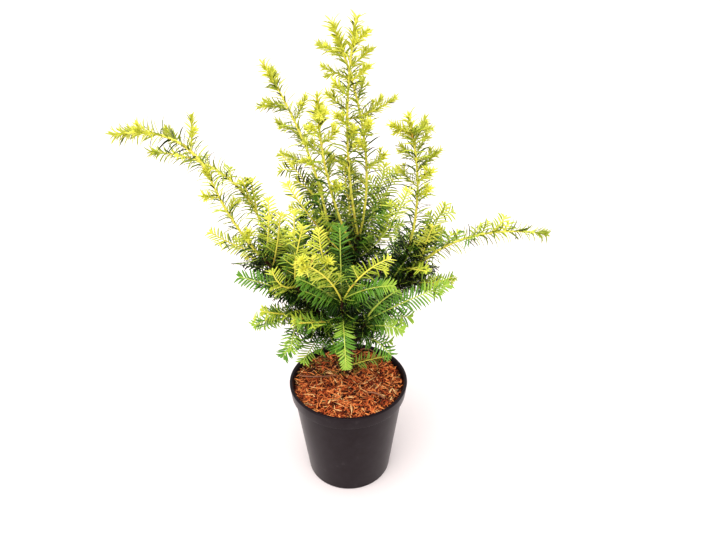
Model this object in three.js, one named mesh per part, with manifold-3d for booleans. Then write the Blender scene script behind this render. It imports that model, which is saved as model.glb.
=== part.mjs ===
// A young golden yew in a round nursery pot, in millimetres.
// The origin is the middle of the pot's flat underside, and +Z points up.
import * as THREE from 'three';
import { mergeVertices } from 'three/addons/utils/BufferGeometryUtils.js';
import Module from 'manifold-3d';

const wasm = await Module();
wasm.setup();

// Driving dimensions

// Neighbouring pieces stand this far apart.
const gap = 0.3;
// Edges shorter than this are merged away where needles and twigs are fused.
const shortestEdge = 0.01;

const pot = {
  height: 178,
  baseRadius: 70,
  rimRadius: 95,
  wallRadiusAtRim: 91,
  bandDepth: 22,
  bandTaper: 2.4,
  lipRound: 1.5,
  lipWidth: 0.8,
  wall: 1.8,
  floor: 5,
  edgeBevel: 2,
  footHeight: 3,
  padRadius: 24,
  grooveRadius: 50,
  footSlope: 2,
  drainHoles: 6,
  drainRadius: 4.5,
  drainFacets: 12,
  facets: 36,
};

const medium = {
  level: 170,
  flatRadius: 45,
  relief: 1.6,
  edgeDrop: 1.5,
  edgeWidth: 8,
  rings: 3,
  facets: 28,
};

// Limbs: each starts on another limb, a share of the way along it, and ends at its tip.
// bow is how far its middle stands off the straight line, and thick and thin are its end radii.
const limbs = {
  trunk: {
    foot: [1, 34, medium.level + gap], tip: [16, 4, 428], bow: [-3.75, 7.5, 0], thick: 5.8, thin: 3,
  },
  bough_right: {
    on: 'trunk', at: 0.16, tip: [88, -12, 424], bow: [10, 0, 0], thick: 4.4, thin: 2.3,
  },
  bough_right_arm: {
    on: 'bough_right', at: 0.6, tip: [110, -4, 392], bow: [3, 0, -3], thick: 2.8, thin: 2,
  },
  bough_right_low: {
    on: 'bough_right', at: 0.42, tip: [113, 30, 366], bow: [0, 4, -6], thick: 2.8, thin: 1.9,
  },
  bough_left_arm: {
    on: 'trunk', at: 0.42, tip: [-121, -20, 413], bow: [-8, 0, -8], thick: 3.9, thin: 2.2,
  },
  bough_left_back: {
    on: 'trunk', at: 0.56, tip: [-112, 30, 388], bow: [-8, 6, -3], thick: 3.2, thin: 2,
  },
  bough_left_low: {
    on: 'trunk', at: 0.25, tip: [-72, -22, 322], bow: [-4, -2, 0], thick: 3, thin: 1.8,
  },
  bough_front_left: {
    on: 'trunk', at: 0.34, tip: [-70, -52, 384], bow: [-8, -8, -6], thick: 3, thin: 1.8,
  },
  bough_front: {
    on: 'trunk', at: 0.3, tip: [-8, -62, 374], bow: [-3, -12, -3], thick: 3, thin: 1.9,
  },
  bough_front_right: {
    on: 'trunk', at: 0.22, tip: [28, -56, 332], bow: [2, -6, -2], thick: 2.8, thin: 1.8,
  },
  bough_high_left: {
    on: 'trunk', at: 0.6, tip: [-26, 18, 434], bow: [-8, 2, -4], thick: 2.8, thin: 1.9,
  },
  bough_back_left: {
    on: 'trunk', at: 0.29, tip: [-62, 78, 334], bow: [-6, 8, -8], thick: 3.2, thin: 1.8,
  },
  bough_back_right: {
    on: 'trunk', at: 0.38, tip: [58, 84, 338], bow: [4, 8, -8], thick: 3.2, thin: 1.8,
  },
  bough_back: {
    on: 'trunk', at: 0.52, tip: [2, 84, 404], bow: [-2, 10, -8], thick: 3, thin: 1.8,
  },
};

const trunkFlare = { extra: 3.2, fall: 9 };
const trunkFacets = { sides: 9, steps: 14 };
const boughFacets = { sides: 6, steps: 5 };

// Leafy shoots: placed as limbs are. A round shoot has needles on all sides of its stem.
// The others are flat sprays whose right side looks across, a compass direction in degrees.
// twigs is the number of side twigs, from where the first of them stands, reach the length of the
// longest, raise how far they turn up from the spray's plane, wander how much their turns vary, and
// seed the start of their random numbers where it isn't the shoot's place in this list.
const shoots = {
  leader_tall: {
    on: 'trunk', at: 0.94, tip: [-15, 0, 705], bow: [26, 0, -6],
    round: true, across: 0, twigs: 8, from: 0.3, reach: 46, seed: 241,
  },
  leader_twin: {
    on: 'trunk', at: 1, tip: [15, -6, 711], bow: [-13, -3, 6],
    round: true, across: 0, twigs: 9, from: 0.3, reach: 42, seed: 2935,
  },
  leader_left: {
    on: 'bough_high_left', at: 1, tip: [-105, 45, 654], bow: [13, 2, 0],
    round: true, across: 0, twigs: 6, from: 0.36, reach: 46, seed: 908,
  },
  leader_right: {
    on: 'bough_right', at: 1, tip: [76, -26, 602], bow: [11, -2, 0],
    round: true, across: 0, twigs: 8, from: 0.36, reach: 42, seed: 3015,
  },
  upright_front: {
    on: 'trunk', at: 0.87, tip: [-32, -45, 630], bow: [-12, -10, 5],
    round: true, across: 0, twigs: 7, from: 0.42, reach: 36, seed: 5990,
  },
  upright_back: {
    on: 'bough_high_left', at: 0.8, tip: [-93, 66, 530], bow: [16, 6, -4],
    across: 180, twigs: 4, reach: 36,
  },
  upright_left: {
    on: 'trunk', at: 0.8, tip: [-73, -60, 529], bow: [-2, -6, -2],
    across: 0, twigs: 3, reach: 36,
  },
  upright_inner: {
    on: 'trunk', at: 0.93, tip: [55, 50, 519], bow: [6, 4, -2],
    across: 0, twigs: 4, reach: 38,
  },
  upright_cross: {
    on: 'trunk', at: 0.84, tip: [77, -58, 520], bow: [5, -8, -8],
    across: 0, twigs: 3, reach: 34,
  },
  upright_right: {
    on: 'bough_right_low', at: 1, tip: [146, 48, 458], bow: [-4, 1, 2],
    across: 0, twigs: 4, reach: 34,
  },
  upright_gold: {
    on: 'bough_right_arm', at: 0.92, tip: [110, -18, 448], bow: [-4, -2, 0],
    across: 0, twigs: 2, reach: 26,
  },
  arm_right: {
    on: 'bough_right_arm', at: 1, tip: [275, -20, 439], bow: [-12, -2, 20],
    twigs: 6, reach: 30, raise: 40, wander: 48, seed: 4165,
  },
  arm_left: {
    on: 'bough_left_arm', at: 1, tip: [-176, -28, 538], bow: [-4, 0, -6],
    round: true, twigs: 3, from: 0.1, reach: 30, seed: 277,
  },
  arm_left_far: {
    on: 'arm_left', at: 1, tip: [-281, -30, 581], bow: [12, 0, 18],
    round: true, twigs: 4, from: 0.1, reach: 44, seed: 2868,
  },
  arm_left_upper: {
    on: 'bough_left_back', at: 1, tip: [-270, 52, 537], bow: [30, 0, 36],
    twigs: 5, reach: 30, raise: 20, wander: 48, seed: 15593,
  },
  arm_left_low: {
    on: 'bough_left_back', at: 0.92, tip: [-191, 4, 437], bow: [-2, 0, -5],
    across: 70, twigs: 3, reach: 28,
  },
  frond_fishbone: {
    on: 'bough_left_arm', at: 0.93, tip: [-99, -40, 501], bow: [3, -4, 0],
    across: 0, twigs: 0,
  },
  frond_left_second: {
    on: 'bough_left_arm', at: 0.84, tip: [-83, -54, 488], bow: [2, -6, 0],
    across: 0, twigs: 3, reach: 30,
  },
  frond_left_third: {
    on: 'bough_front_left', at: 1, tip: [-53, -78, 480], bow: [-4, -2, -2],
    across: 0, twigs: 3, reach: 28,
  },
  frond_left_dark: {
    on: 'bough_front_left', at: 0.9, tip: [-141, -72, 407], bow: [2, -4, 6],
    across: 60, twigs: 1, reach: 30,
  },
  frond_left_gold: {
    on: 'bough_front_left', at: 0.78, tip: [-93, -98, 426], bow: [-4, -8, -6],
    across: 30, twigs: 1, reach: 26,
  },
  frond_low_left: {
    on: 'bough_left_low', at: 1, tip: [-133, -50, 315], bow: [0, -4, 6],
    twigs: 4, reach: 30,
  },
  frond_low_gold: {
    on: 'bough_left_low', at: 0.88, tip: [-114, -84, 361], bow: [0, -6, 2],
    twigs: 1, reach: 26,
  },
  frond_rim_left: {
    on: 'bough_left_low', at: 0.66, tip: [-93, -68, 272], bow: [-2, -6, 8],
    twigs: 1, reach: 32,
  },
  frond_drooping: {
    on: 'bough_front', at: 0.66, tip: [-3, -114, 287], bow: [0, -12, 16],
    twigs: 0,
  },
  frond_inner: {
    on: 'bough_front', at: 0.45, tip: [-66, -92, 346], bow: [-6, -8, 6],
    twigs: 4, reach: 28,
  },
  frond_upright: {
    on: 'bough_front', at: 1, tip: [-8, -100, 488], bow: [0, -8, 2],
    across: 0, twigs: 0,
  },
  frond_gold: {
    on: 'bough_front', at: 0.94, tip: [-34, -94, 482], bow: [-5, -6, -4],
    across: 0, twigs: 3, reach: 28,
  },
  frond_cluster: {
    on: 'bough_front', at: 0.88, tip: [-58, -132, 457], bow: [0, -8, 0],
    across: 20, twigs: 4, reach: 30,
  },
  frond_front_gold: {
    on: 'bough_front', at: 0.86, tip: [52, -108, 449], bow: [-4, -6, 12],
    across: -20, twigs: 2, reach: 30,
  },
  frond_front_mid: {
    on: 'bough_front_right', at: 1, tip: [54, -122, 420], bow: [2, -8, -4],
    across: -30, twigs: 1, reach: 30,
  },
  frond_right_long: {
    on: 'bough_front_right', at: 0.9, tip: [134, -76, 394], bow: [0, -8, 8],
    twigs: 2, reach: 36,
  },
  frond_right_low: {
    on: 'bough_front_right', at: 0.72, tip: [75, -88, 330], bow: [0, -8, 10],
    twigs: 1, reach: 30,
  },
  frond_rim_right: {
    on: 'bough_front_right', at: 0.5, tip: [60, -80, 282], bow: [0, -8, 12],
    twigs: 1, reach: 28,
  },
  frond_right_gold: {
    on: 'bough_right', at: 0.8, tip: [108, -54, 401], bow: [0, -4, 2],
    twigs: 1, reach: 22,
  },
  frond_right_end: {
    on: 'bough_right_low', at: 0.7, tip: [159, 20, 351], bow: [0, -2, -6],
    twigs: 4, reach: 30,
  },
  back_left: {
    on: 'bough_back_left', at: 1, tip: [-112, 132, 378], bow: [4, 4, -4],
    twigs: 4, reach: 36,
  },
  back_left_low: {
    on: 'bough_back_left', at: 0.8, tip: [-66, 136, 306], bow: [4, 2, 6],
    twigs: 3, reach: 30,
  },
  back_right: {
    on: 'bough_back_right', at: 1, tip: [112, 134, 374], bow: [-4, 4, -4],
    twigs: 4, reach: 36,
  },
  back_right_low: {
    on: 'bough_back_right', at: 0.8, tip: [60, 148, 300], bow: [-4, 2, 6],
    twigs: 3, reach: 30,
  },
  back_upright: {
    on: 'bough_back', at: 1, tip: [10, 130, 498], bow: [0, 8, -6],
    across: 180, twigs: 4, reach: 36,
  },
  back_upright_left: {
    on: 'bough_back', at: 0.84, tip: [-60, 118, 454], bow: [0, 8, -6],
    across: 150, twigs: 3, reach: 32,
  },
  back_upright_right: {
    on: 'bough_back', at: 0.72, tip: [66, 124, 446], bow: [0, 8, -6],
    across: 210, twigs: 3, reach: 32,
  },
  back_drooping: {
    on: 'bough_back_left', at: 0.6, tip: [-4, 140, 332], bow: [0, 6, 8],
    across: 180, twigs: 2, reach: 30,
  },
};

// Shoots: stems, side twigs and needles
const stem = { thick: 1.9, thin: 1.1, twigThick: 1.2, twigThin: 0.8, start: 6 };
const twig = {
  from: 0.2,
  last: 0.9,
  lean: 52,
  shrink: 0.75,
  spread: [0.85, 1.15],
  wander: 14,
  arch: 0.08,
  free: 4,
  shortest: 21,
};
const needle = {
  length: 22,
  shrink: 0.62,
  spread: [0.88, 1.08],
  roundPitch: 14.5,
  roundBase: 4.6,
  flatPitch: 9.6,
  leanAtFoot: 66,
  leanAtTip: 38,
  lift: 18,
  tuft: 9,
  rootRadius: 2.8,
  pointRadius: 0.2,
};

// A shoot is gold where its tip stands high in the light, deep green low down, and green between.
const goldHeight = 430;
const greenHeight = 335;

const colours = {
  pot: { color: 0x2c292c, roughness: 0.35 },
  medium: { color: 0x7b4527, roughness: 0.95 },
  bark: { color: 0x6a4934, roughness: 0.9 },
  gold: { color: 0xcfd43e, roughness: 0.6 },
  green: { color: 0x86ad3a, roughness: 0.6 },
  deep: { color: 0x4a7a33, roughness: 0.6 },
};

// Small helpers

const degrees = Math.PI / 180;
const vector = (numbers) => new THREE.Vector3(...numbers);
const mix = (a, b, share) => a + (b - a) * share;

// A repeatable random number from 0 to 1 for a seed and a count.
function chance(seed, count) {
  const wave = Math.sin(seed * 78.233 + count * 12.9898) * 43758.5453;
  return wave - Math.floor(wave);
}

function foliageColour(height) {
  if (height > goldHeight) {
    return colours.gold;
  }
  return height > greenHeight ? colours.green : colours.deep;
}

function materialOf({ color, roughness }) {
  return new THREE.MeshStandardMaterial({ color, roughness, metalness: 0 });
}

// A closed geometry becomes a solid once its shared corners are merged.
function solidFrom(geometry) {
  const bare = geometry.clone();
  bare.deleteAttribute('normal');
  bare.deleteAttribute('uv');
  const merged = mergeVertices(bare, 1e-4);
  const vertProperties = new Float32Array(merged.attributes.position.array);
  const triVerts = new Uint32Array(merged.index.array);
  return new wasm.Manifold(new wasm.Mesh({ numProp: 3, vertProperties, triVerts }));
}

function geometryFrom(solid) {
  const mesh = solid.getMesh();
  const geometry = new THREE.BufferGeometry();
  geometry.setAttribute('position', new THREE.BufferAttribute(new Float32Array(mesh.vertProperties), 3));
  geometry.setIndex(new THREE.BufferAttribute(new Uint32Array(mesh.triVerts), 1));
  return geometry;
}

// The lathe turns about Y, so its profile is stood up along Z.
function turned(profile, facets) {
  const points = profile.map(([radius, height]) => new THREE.Vector2(radius, height));
  return new THREE.LatheGeometry(points, facets).rotateX(Math.PI / 2);
}

// Pot and growing medium

const outerWallAt = (height) => mix(pot.baseRadius, pot.wallRadiusAtRim, height / pot.height);

function potGeometry() {
  const bandFoot = pot.height - pot.bandDepth;
  const lipFoot = pot.height - 2 * pot.wall;
  const profile = [
    [0, 0],
    [pot.padRadius, 0],
    [pot.padRadius + pot.footSlope, pot.footHeight],
    [pot.grooveRadius - pot.footSlope, pot.footHeight],
    [pot.grooveRadius, 0],
    [pot.baseRadius - pot.edgeBevel, 0],
    [pot.baseRadius, pot.edgeBevel],
    [outerWallAt(bandFoot), bandFoot],
    [pot.rimRadius - pot.bandTaper, bandFoot],
    [pot.rimRadius, pot.height - pot.lipRound],
    [pot.rimRadius - pot.lipWidth, pot.height],
    [pot.wallRadiusAtRim, pot.height],
    [outerWallAt(lipFoot) - pot.wall, lipFoot],
    [outerWallAt(pot.floor) - pot.wall, pot.floor],
    [0, pot.floor],
  ];
  let solid = solidFrom(turned(profile, pot.facets));
  const ringRadius = (pot.padRadius + pot.grooveRadius) / 2;
  for (let count = 0; count < pot.drainHoles; count += 1) {
    const angle = (count / pot.drainHoles) * 2 * Math.PI;
    const drill = new THREE.CylinderGeometry(
      pot.drainRadius, pot.drainRadius, 4 * pot.floor, pot.drainFacets,
    );
    drill.rotateX(Math.PI / 2);
    drill.translate(ringRadius * Math.cos(angle), ringRadius * Math.sin(angle), 0);
    solid = solid.subtract(solidFrom(drill));
  }
  return geometryFrom(solid);
}

// The medium fills the pot to just under the rim: level round the trunk, lightly uneven outside that.
function mediumGeometry() {
  const innerWallAt = (height) => outerWallAt(height) - pot.wall - gap;
  const edge = innerWallAt(medium.level);
  const profile = [
    [0, pot.floor + gap],
    [innerWallAt(pot.floor) - gap, pot.floor + gap],
    [edge - gap, medium.level - medium.edgeDrop],
  ];
  for (let ring = medium.rings; ring >= 0; ring -= 1) {
    const radius = mix(medium.flatRadius, edge - medium.edgeWidth, ring / medium.rings);
    profile.push([radius, medium.level]);
  }
  profile.push([0, medium.level]);
  const geometry = turned(profile, medium.facets);
  const place = geometry.attributes.position;
  for (let index = 0; index < place.count; index += 1) {
    const x = place.getX(index);
    const y = place.getY(index);
    const isOutside = Math.hypot(x, y) > medium.flatRadius + gap;
    if (isOutside && place.getZ(index) > medium.level - gap) {
      const ripple = Math.sin(x / 9 + 1) * Math.cos(y / 11) + 0.5 * Math.sin((x - y) / 5);
      place.setZ(index, medium.level + medium.relief * ripple);
    }
  }
  return geometry;
}

// Paths: a limb or shoot follows one bowed curve from its seat to its tip

// The seat is just clear of the limb's skin, or of its end where the path carries straight on.
// slack is how much nearer than that it may come.
function seatedCurve(carrier, { at, tip, bow }, radius, slack) {
  const start = carrier.curve.getPoint(at);
  const end = vector(tip);
  const middle = start.clone().lerp(end, 0.5);
  const control = middle.addScaledVector(vector(bow), 2);
  const heading = control.clone().sub(start).normalize();
  const along = carrier.curve.getTangent(at);
  const cosine = Math.abs(heading.dot(along));
  const sine = heading.clone().cross(along).length();
  if (at === 1) {
    start.addScaledVector(along, gap + radius * sine - slack);
  } else {
    const clearance = carrier.radiusAt(at) + gap + radius * cosine;
    start.addScaledVector(heading, clearance / sine - slack);
  }
  return new THREE.QuadraticBezierCurve3(start, control, end);
}

// A piece is slid towards its carrier until its foot stands one gap clear of the carrier's facets.
function seated(place, radius, geometryAlong) {
  const carrier = growing[place.on];
  let curve;
  let solid;
  let slack = 0;
  for (let pass = 0; pass < 7; pass += 1) {
    curve = seatedCurve(carrier, place, radius, slack);
    solid = solidFrom(geometryAlong(curve));
    slack += carrier.solid.minGap(solid, 10) - gap;
  }
  return { curve, solid };
}

// A cylinder bent along the curve, tapered by its radius at each height.
function limbGeometry(curve, radiusAt, { sides, steps }) {
  const geometry = new THREE.CylinderGeometry(1, 1, 1, sides, steps);
  const place = geometry.attributes.position;
  const reference = new THREE.Vector3(1, 0.3, 0);
  for (let index = 0; index < place.count; index += 1) {
    const share = place.getY(index) + 0.5;
    const along = curve.getTangent(share);
    const normal = reference.clone().addScaledVector(along, -reference.dot(along)).normalize();
    const side = along.clone().cross(normal);
    const point = curve.getPoint(share);
    point.addScaledVector(side, place.getX(index) * radiusAt(share));
    point.addScaledVector(normal, place.getZ(index) * radiusAt(share));
    place.setXYZ(index, point.x, point.y, point.z);
  }
  return geometry;
}

// The space already held by a node is a list of short tapering rods.

const held = [];

function hold(owner, from, to, fromRadius, toRadius) {
  held.push({ owner, from, to, fromRadius, toRadius });
}

function holdCurve(owner, curve, radiusAt, pieces) {
  for (let piece = 0; piece < pieces; piece += 1) {
    const low = piece / pieces;
    const high = (piece + 1) / pieces;
    hold(owner, curve.getPoint(low), curve.getPoint(high), radiusAt(low), radiusAt(high));
  }
}

// The nearest places on two rods, as shares of their lengths.
function nearestShares(a, b) {
  const u = a.to.clone().sub(a.from);
  const v = b.to.clone().sub(b.from);
  const w = a.from.clone().sub(b.from);
  const uu = u.dot(u);
  const uv = u.dot(v);
  const vv = v.dot(v);
  const clamp = (share) => Math.min(Math.max(share, 0), 1);
  const spread = uu * vv - uv * uv;
  let s = spread > 1e-6 ? clamp((uv * v.dot(w) - vv * u.dot(w)) / spread) : 0;
  const t = clamp((uv * s + v.dot(w)) / vv);
  s = clamp((uv * t - u.dot(w)) / uu);
  return [s, t];
}

function isClear(owner, from, to, fromRadius, toRadius, room) {
  const rod = { from, to };
  const reach = from.distanceTo(to) + fromRadius + room;
  return held.every((other) => {
    if (other.owner === owner) {
      return true;
    }
    const far = other.from.distanceTo(other.to) + other.fromRadius + reach;
    if (other.from.distanceTo(from) > far) {
      return true;
    }
    const [s, t] = nearestShares(rod, other);
    const here = from.clone().lerp(to, s);
    const there = other.from.clone().lerp(other.to, t);
    const radii = mix(fromRadius, toRadius, s) + mix(other.fromRadius, other.toRadius, t);
    return here.distanceTo(there) > radii + room;
  });
}

// Shoots

// The directions at a place on a stem: along it, out of its upper face, and to its right.
function frameAt(curve, share, faceUp) {
  const along = curve.getTangent(share);
  const up = faceUp.clone().addScaledVector(along, -faceUp.dot(along)).normalize();
  const right = along.clone().cross(up);
  return { along, up, right };
}

// A flat spray faces up, or the way that puts its right side across a compass direction.
function faceOf(curve, across) {
  const chord = curve.getPoint(1).sub(curve.getPoint(0)).normalize();
  const right = new THREE.Vector3(chord.y, -chord.x, 0);
  if (across !== undefined) {
    right.set(Math.cos(across * degrees), Math.sin(across * degrees), 0);
  }
  return right.normalize().cross(chord).normalize();
}

// A three-sided stem whose faces are drawn out into needles at every stop.
// A flat spray has a pair at each stop, root against root, like the teeth of a blade.
// A round one has three at each stop, turned by half a step each time, with bare stem between.
function needledStem(owner, { curve, faceUp, round, radiusAt, bare }) {
  const length = curve.getLength();
  const pitch = round ? needle.roundPitch : needle.flatPitch;
  const base = round ? needle.roundBase : needle.flatPitch;
  const stops = Math.max(1, Math.floor((length - stem.start - needle.tuft - base) / pitch) + 1);
  const vertices = [];
  const faces = [];
  const ringAt = (distance, spin) => {
    const share = distance / length;
    const { up, right } = frameAt(curve, share, faceUp);
    const first = vertices.length;
    for (let corner = 0; corner < 3; corner += 1) {
      const angle = spin + (corner * 2 * Math.PI) / 3;
      const point = curve.getPointAt(share);
      point.addScaledVector(up, Math.cos(angle) * radiusAt(share));
      point.addScaledVector(right, Math.sin(angle) * radiusAt(share));
      vertices.push(point);
    }
    return first;
  };
  const wall = (low, high, corner) => {
    const next = (corner + 1) % 3;
    return [low + corner, low + next, high + next, high + corner];
  };
  const plainWall = (low, high, corner) => {
    const [a, b, c, d] = wall(low, high, corner);
    faces.push([a, b, d], [b, c, d]);
  };
  let last = ringAt(0, 0);
  faces.push([last, last + 2, last + 1]);
  for (let stop = 0; stop < stops; stop += 1) {
    const distance = stem.start + stop * pitch;
    const share = (distance + base / 2) / length;
    const spin = round ? (stop * Math.PI) / 3 : 0;
    let low = last;
    if (round || stop === 0) {
      low = ringAt(distance, spin);
      [0, 1, 2].forEach((corner) => plainWall(last, low, corner));
    }
    const high = ringAt(distance + base, spin);
    const { along, up, right } = frameAt(curve, share, faceUp);
    const lean = mix(needle.leanAtFoot, needle.leanAtTip, share * share) * degrees;
    for (let corner = 0; corner < 3; corner += 1) {
      const isPlain = bare || (!round && corner === 1);
      const flatAngle = (corner === 0 ? 1 : -1) * (90 - needle.lift) * degrees;
      const angle = round ? spin + Math.PI / 3 + (corner * 2 * Math.PI) / 3 : flatAngle;
      const out = up.clone().multiplyScalar(Math.cos(angle)).addScaledVector(right, Math.sin(angle));
      const aim = along.clone().multiplyScalar(Math.cos(lean)).addScaledVector(out, Math.sin(lean));
      const spread = mix(...needle.spread, chance(stop, corner));
      const reach = needle.length * mix(1, needle.shrink, share ** 3) * spread;
      const root = curve.getPointAt(share).addScaledVector(out, radiusAt(share));
      const end = root.clone().addScaledVector(aim, reach);
      const radii = [needle.rootRadius, needle.pointRadius];
      if (isPlain || !isClear(owner, root, end, ...radii, gap)) {
        plainWall(low, high, corner);
      } else {
        hold(owner, root, end, ...radii);
        const point = vertices.push(end) - 1;
        const [a, b, c, d] = wall(low, high, corner);
        faces.push([a, b, point], [b, c, point], [c, d, point], [d, a, point]);
      }
    }
    last = high;
  }
  const tip = vertices.push(curve.getPoint(1)) - 1;
  for (let corner = 0; corner < 3; corner += 1) {
    faces.push([last + corner, last + ((corner + 1) % 3), tip]);
  }
  const geometry = new THREE.BufferGeometry();
  geometry.setFromPoints(vertices);
  geometry.setIndex(faces.flat());
  return geometry;
}

// Side twigs leave a flat spray by turns on its right and left, and a round stem on any side.
// They grow shorter towards its tip.
function twigsOf(name, seed) {
  const { twigs, reach, round, from = twig.from, raise = 0, wander = twig.wander } = shoots[name];
  const { curve, faceUp } = growing[name];
  const grown = [];
  for (let count = 0; count < twigs; count += 1) {
    const share = mix(from, twig.last, (count + 0.3 + 0.4 * chance(seed, count)) / twigs);
    const { along, up, right } = frameAt(curve, share, faceUp);
    const sideTurn = (count % 2 ? 90 - raise : raise - 90) + wander * (chance(seed, count + 40) - 0.5);
    const turn = (round ? 360 * chance(seed, count + 40) : sideTurn) * degrees;
    const out = up.clone().multiplyScalar(Math.cos(turn)).addScaledVector(right, Math.sin(turn));
    const aim = along.clone().multiplyScalar(Math.cos(twig.lean * degrees));
    aim.addScaledVector(out, Math.sin(twig.lean * degrees));
    const spread = mix(...twig.spread, chance(seed, count + 80));
    const wanted = reach * mix(1, twig.shrink, share) * spread;
    const length = Math.max(wanted, twig.shortest);
    const foot = curve.getPoint(share);
    const tip = foot.clone().addScaledVector(aim, length);
    const middle = foot.clone().lerp(tip, 0.5).addScaledVector(out, twig.arch * length);
    const free = foot.clone().addScaledVector(aim, twig.free);
    if (isClear(name, free, tip, stem.twigThick, stem.twigThin, 2 * gap)) {
      hold(name, foot, tip, stem.twigThick, stem.twigThin);
      const path = new THREE.QuadraticBezierCurve3(foot, middle, tip);
      grown.push({ curve: path, faceUp: round ? along : up });
    }
  }
  return grown;
}

// Growing: limbs first, then every shoot's stem, then the twigs, and the needles last

const growing = {};
const part = new THREE.Group();

function addPart(name, geometry, finish) {
  const mesh = new THREE.Mesh(geometry, materialOf(finish));
  mesh.name = name;
  part.add(mesh);
}

addPart('pot', potGeometry(), colours.pot);
addPart('growing_medium', mediumGeometry(), colours.medium);

const limbRadius = (limb) => (share) => mix(limb.thick, limb.thin, share);

// The trunk stands on the medium and flares at its foot.
function growTrunk(trunk) {
  const foot = vector(trunk.foot);
  const tip = vector(trunk.tip);
  const control = foot.clone().lerp(tip, 0.5).addScaledVector(vector(trunk.bow), 2);
  const curve = new THREE.QuadraticBezierCurve3(foot, control, tip);
  const length = curve.getLength();
  const taper = limbRadius(trunk);
  const radiusAt = (share) => (
    taper(share) + trunkFlare.extra * Math.exp((-share * length) / trunkFlare.fall)
  );
  const solid = solidFrom(limbGeometry(curve, radiusAt, trunkFacets));
  return { curve, solid, radiusAt };
}

function growBough(bough) {
  const radiusAt = limbRadius(bough);
  const shape = (curve) => limbGeometry(curve, radiusAt, boughFacets);
  return { ...seated(bough, bough.thick, shape), radiusAt };
}

for (const [name, limb] of Object.entries(limbs)) {
  growing[name] = limb.on ? growBough(limb) : growTrunk(limb);
  const { curve, solid, radiusAt } = growing[name];
  holdCurve(name, curve, radiusAt, 8);
  addPart(name, geometryFrom(solid), colours.bark);
}

const stemRadiusAt = (share) => mix(stem.thick, stem.thin, share);
const twigRadiusAt = (share) => mix(stem.twigThick, stem.twigThin, share);

for (const [name, shoot] of Object.entries(shoots)) {
  const { round, across } = shoot;
  const bareStem = (curve) => needledStem(name, {
    curve, faceUp: faceOf(curve, across), round, radiusAt: stemRadiusAt, bare: true,
  });
  const { curve, solid } = seated(shoot, stem.thick, bareStem);
  growing[name] = { curve, solid, radiusAt: stemRadiusAt, faceUp: faceOf(curve, across) };
  holdCurve(name, curve, stemRadiusAt, 8);
}

const twigsByShoot = {};
Object.entries(shoots).forEach(([name, { seed }], place) => {
  twigsByShoot[name] = twigsOf(name, seed ?? place);
});

for (const [name, { round, tip }] of Object.entries(shoots)) {
  const { curve, faceUp, radiusAt } = growing[name];
  const solids = [solidFrom(needledStem(name, { curve, faceUp, round, radiusAt }))];
  for (const side of twigsByShoot[name]) {
    const spray = needledStem(name, { ...side, round: false, radiusAt: twigRadiusAt });
    solids.push(solidFrom(spray));
  }
  const whole = wasm.Manifold.union(solids).simplify(shortestEdge);
  addPart(name, geometryFrom(whole), foliageColour(tip[2]));
}

export default part;
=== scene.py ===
import bmesh
import bpy
import numpy as np
from math import pi, radians
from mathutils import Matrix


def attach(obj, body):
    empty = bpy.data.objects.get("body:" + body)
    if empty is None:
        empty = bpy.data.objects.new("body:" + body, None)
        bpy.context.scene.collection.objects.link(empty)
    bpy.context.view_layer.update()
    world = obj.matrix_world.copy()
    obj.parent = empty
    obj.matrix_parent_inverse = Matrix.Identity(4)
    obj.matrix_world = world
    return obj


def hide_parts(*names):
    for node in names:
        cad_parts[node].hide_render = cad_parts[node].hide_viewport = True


# A young golden yew in a round nursery pot, in metres. The tables below are in millimetres.
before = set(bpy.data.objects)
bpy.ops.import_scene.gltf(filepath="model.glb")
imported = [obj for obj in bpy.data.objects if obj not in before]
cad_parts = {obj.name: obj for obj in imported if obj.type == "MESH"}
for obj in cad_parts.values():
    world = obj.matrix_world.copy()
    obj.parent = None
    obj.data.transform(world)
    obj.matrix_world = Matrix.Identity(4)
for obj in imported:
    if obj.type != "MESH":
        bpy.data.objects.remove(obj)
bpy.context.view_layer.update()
mm = 0.001
print("frame loaded:", len(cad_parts), "solids")


# numbers and paths

def chance(seed, count):
    # a repeatable number from 0 to 1: what follows the point in 43758.5453 sin(78.233 seed + 12.9898 count)
    wave = np.sin(seed * 78.233 + count * 12.9898) * 43758.5453
    return wave - np.floor(wave)


def mix(a, b, share):
    # a + (b - a) share
    return a + (b - a) * share


def unit(v):
    # v / |v|
    return v / np.maximum(np.linalg.norm(v, axis=-1, keepdims=True), 1e-12)


def squareTo(v, axis):
    # the direction of v - (v · axis) axis
    return unit(v - np.sum(v * axis, -1, keepdims=True) * axis)


def column(values):
    # one more axis at the end, so that each number scales a whole point
    return np.asarray(values, float)[..., None]


def anglesRound(sides):
    # 2 pi j / sides
    return np.linspace(0, 2 * pi, sides, endpoint=False)


def pointAt(curve, share):
    # (1-s)² foot + 2s(1-s) control + s² tip
    s = column(share)
    return (1 - s) ** 2 * curve[0] + 2 * s * (1 - s) * curve[1] + s ** 2 * curve[2]


def headingAt(curve, share):
    # the direction of (1-s)(control - foot) + s(tip - control)
    s = column(share)
    return unit((1 - s) * (curve[1] - curve[0]) + s * (curve[2] - curve[1]))


def evenShares(curve, distance):
    # shares of the curve at these distances along it, read off a table of summed chords, and its length
    table = np.linspace(0, 1, 65)
    chords = np.linalg.norm(np.diff(pointAt(curve, table), axis=0), axis=1)
    summed = np.concatenate([[0], np.cumsum(chords)])
    return np.interp(distance, summed, table), summed[-1]


def lengthOf(curve):
    # the sum of the curve's chords
    return evenShares(curve, 0)[1]


def bowed(foot, tip, bow):
    # the control point stands off the chord's middle by twice the bow
    foot, tip = np.array(foot, float), np.array(tip, float)
    return np.array([foot, (foot + tip) / 2 + 2 * mm * np.array(bow, float), tip])


def frameAt(curve, share, faceUp):
    # along the stem, out of its upper face, and to its right
    along = headingAt(curve, share)
    up = squareTo(faceUp, along)
    return along, up, np.cross(along, up)


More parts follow.
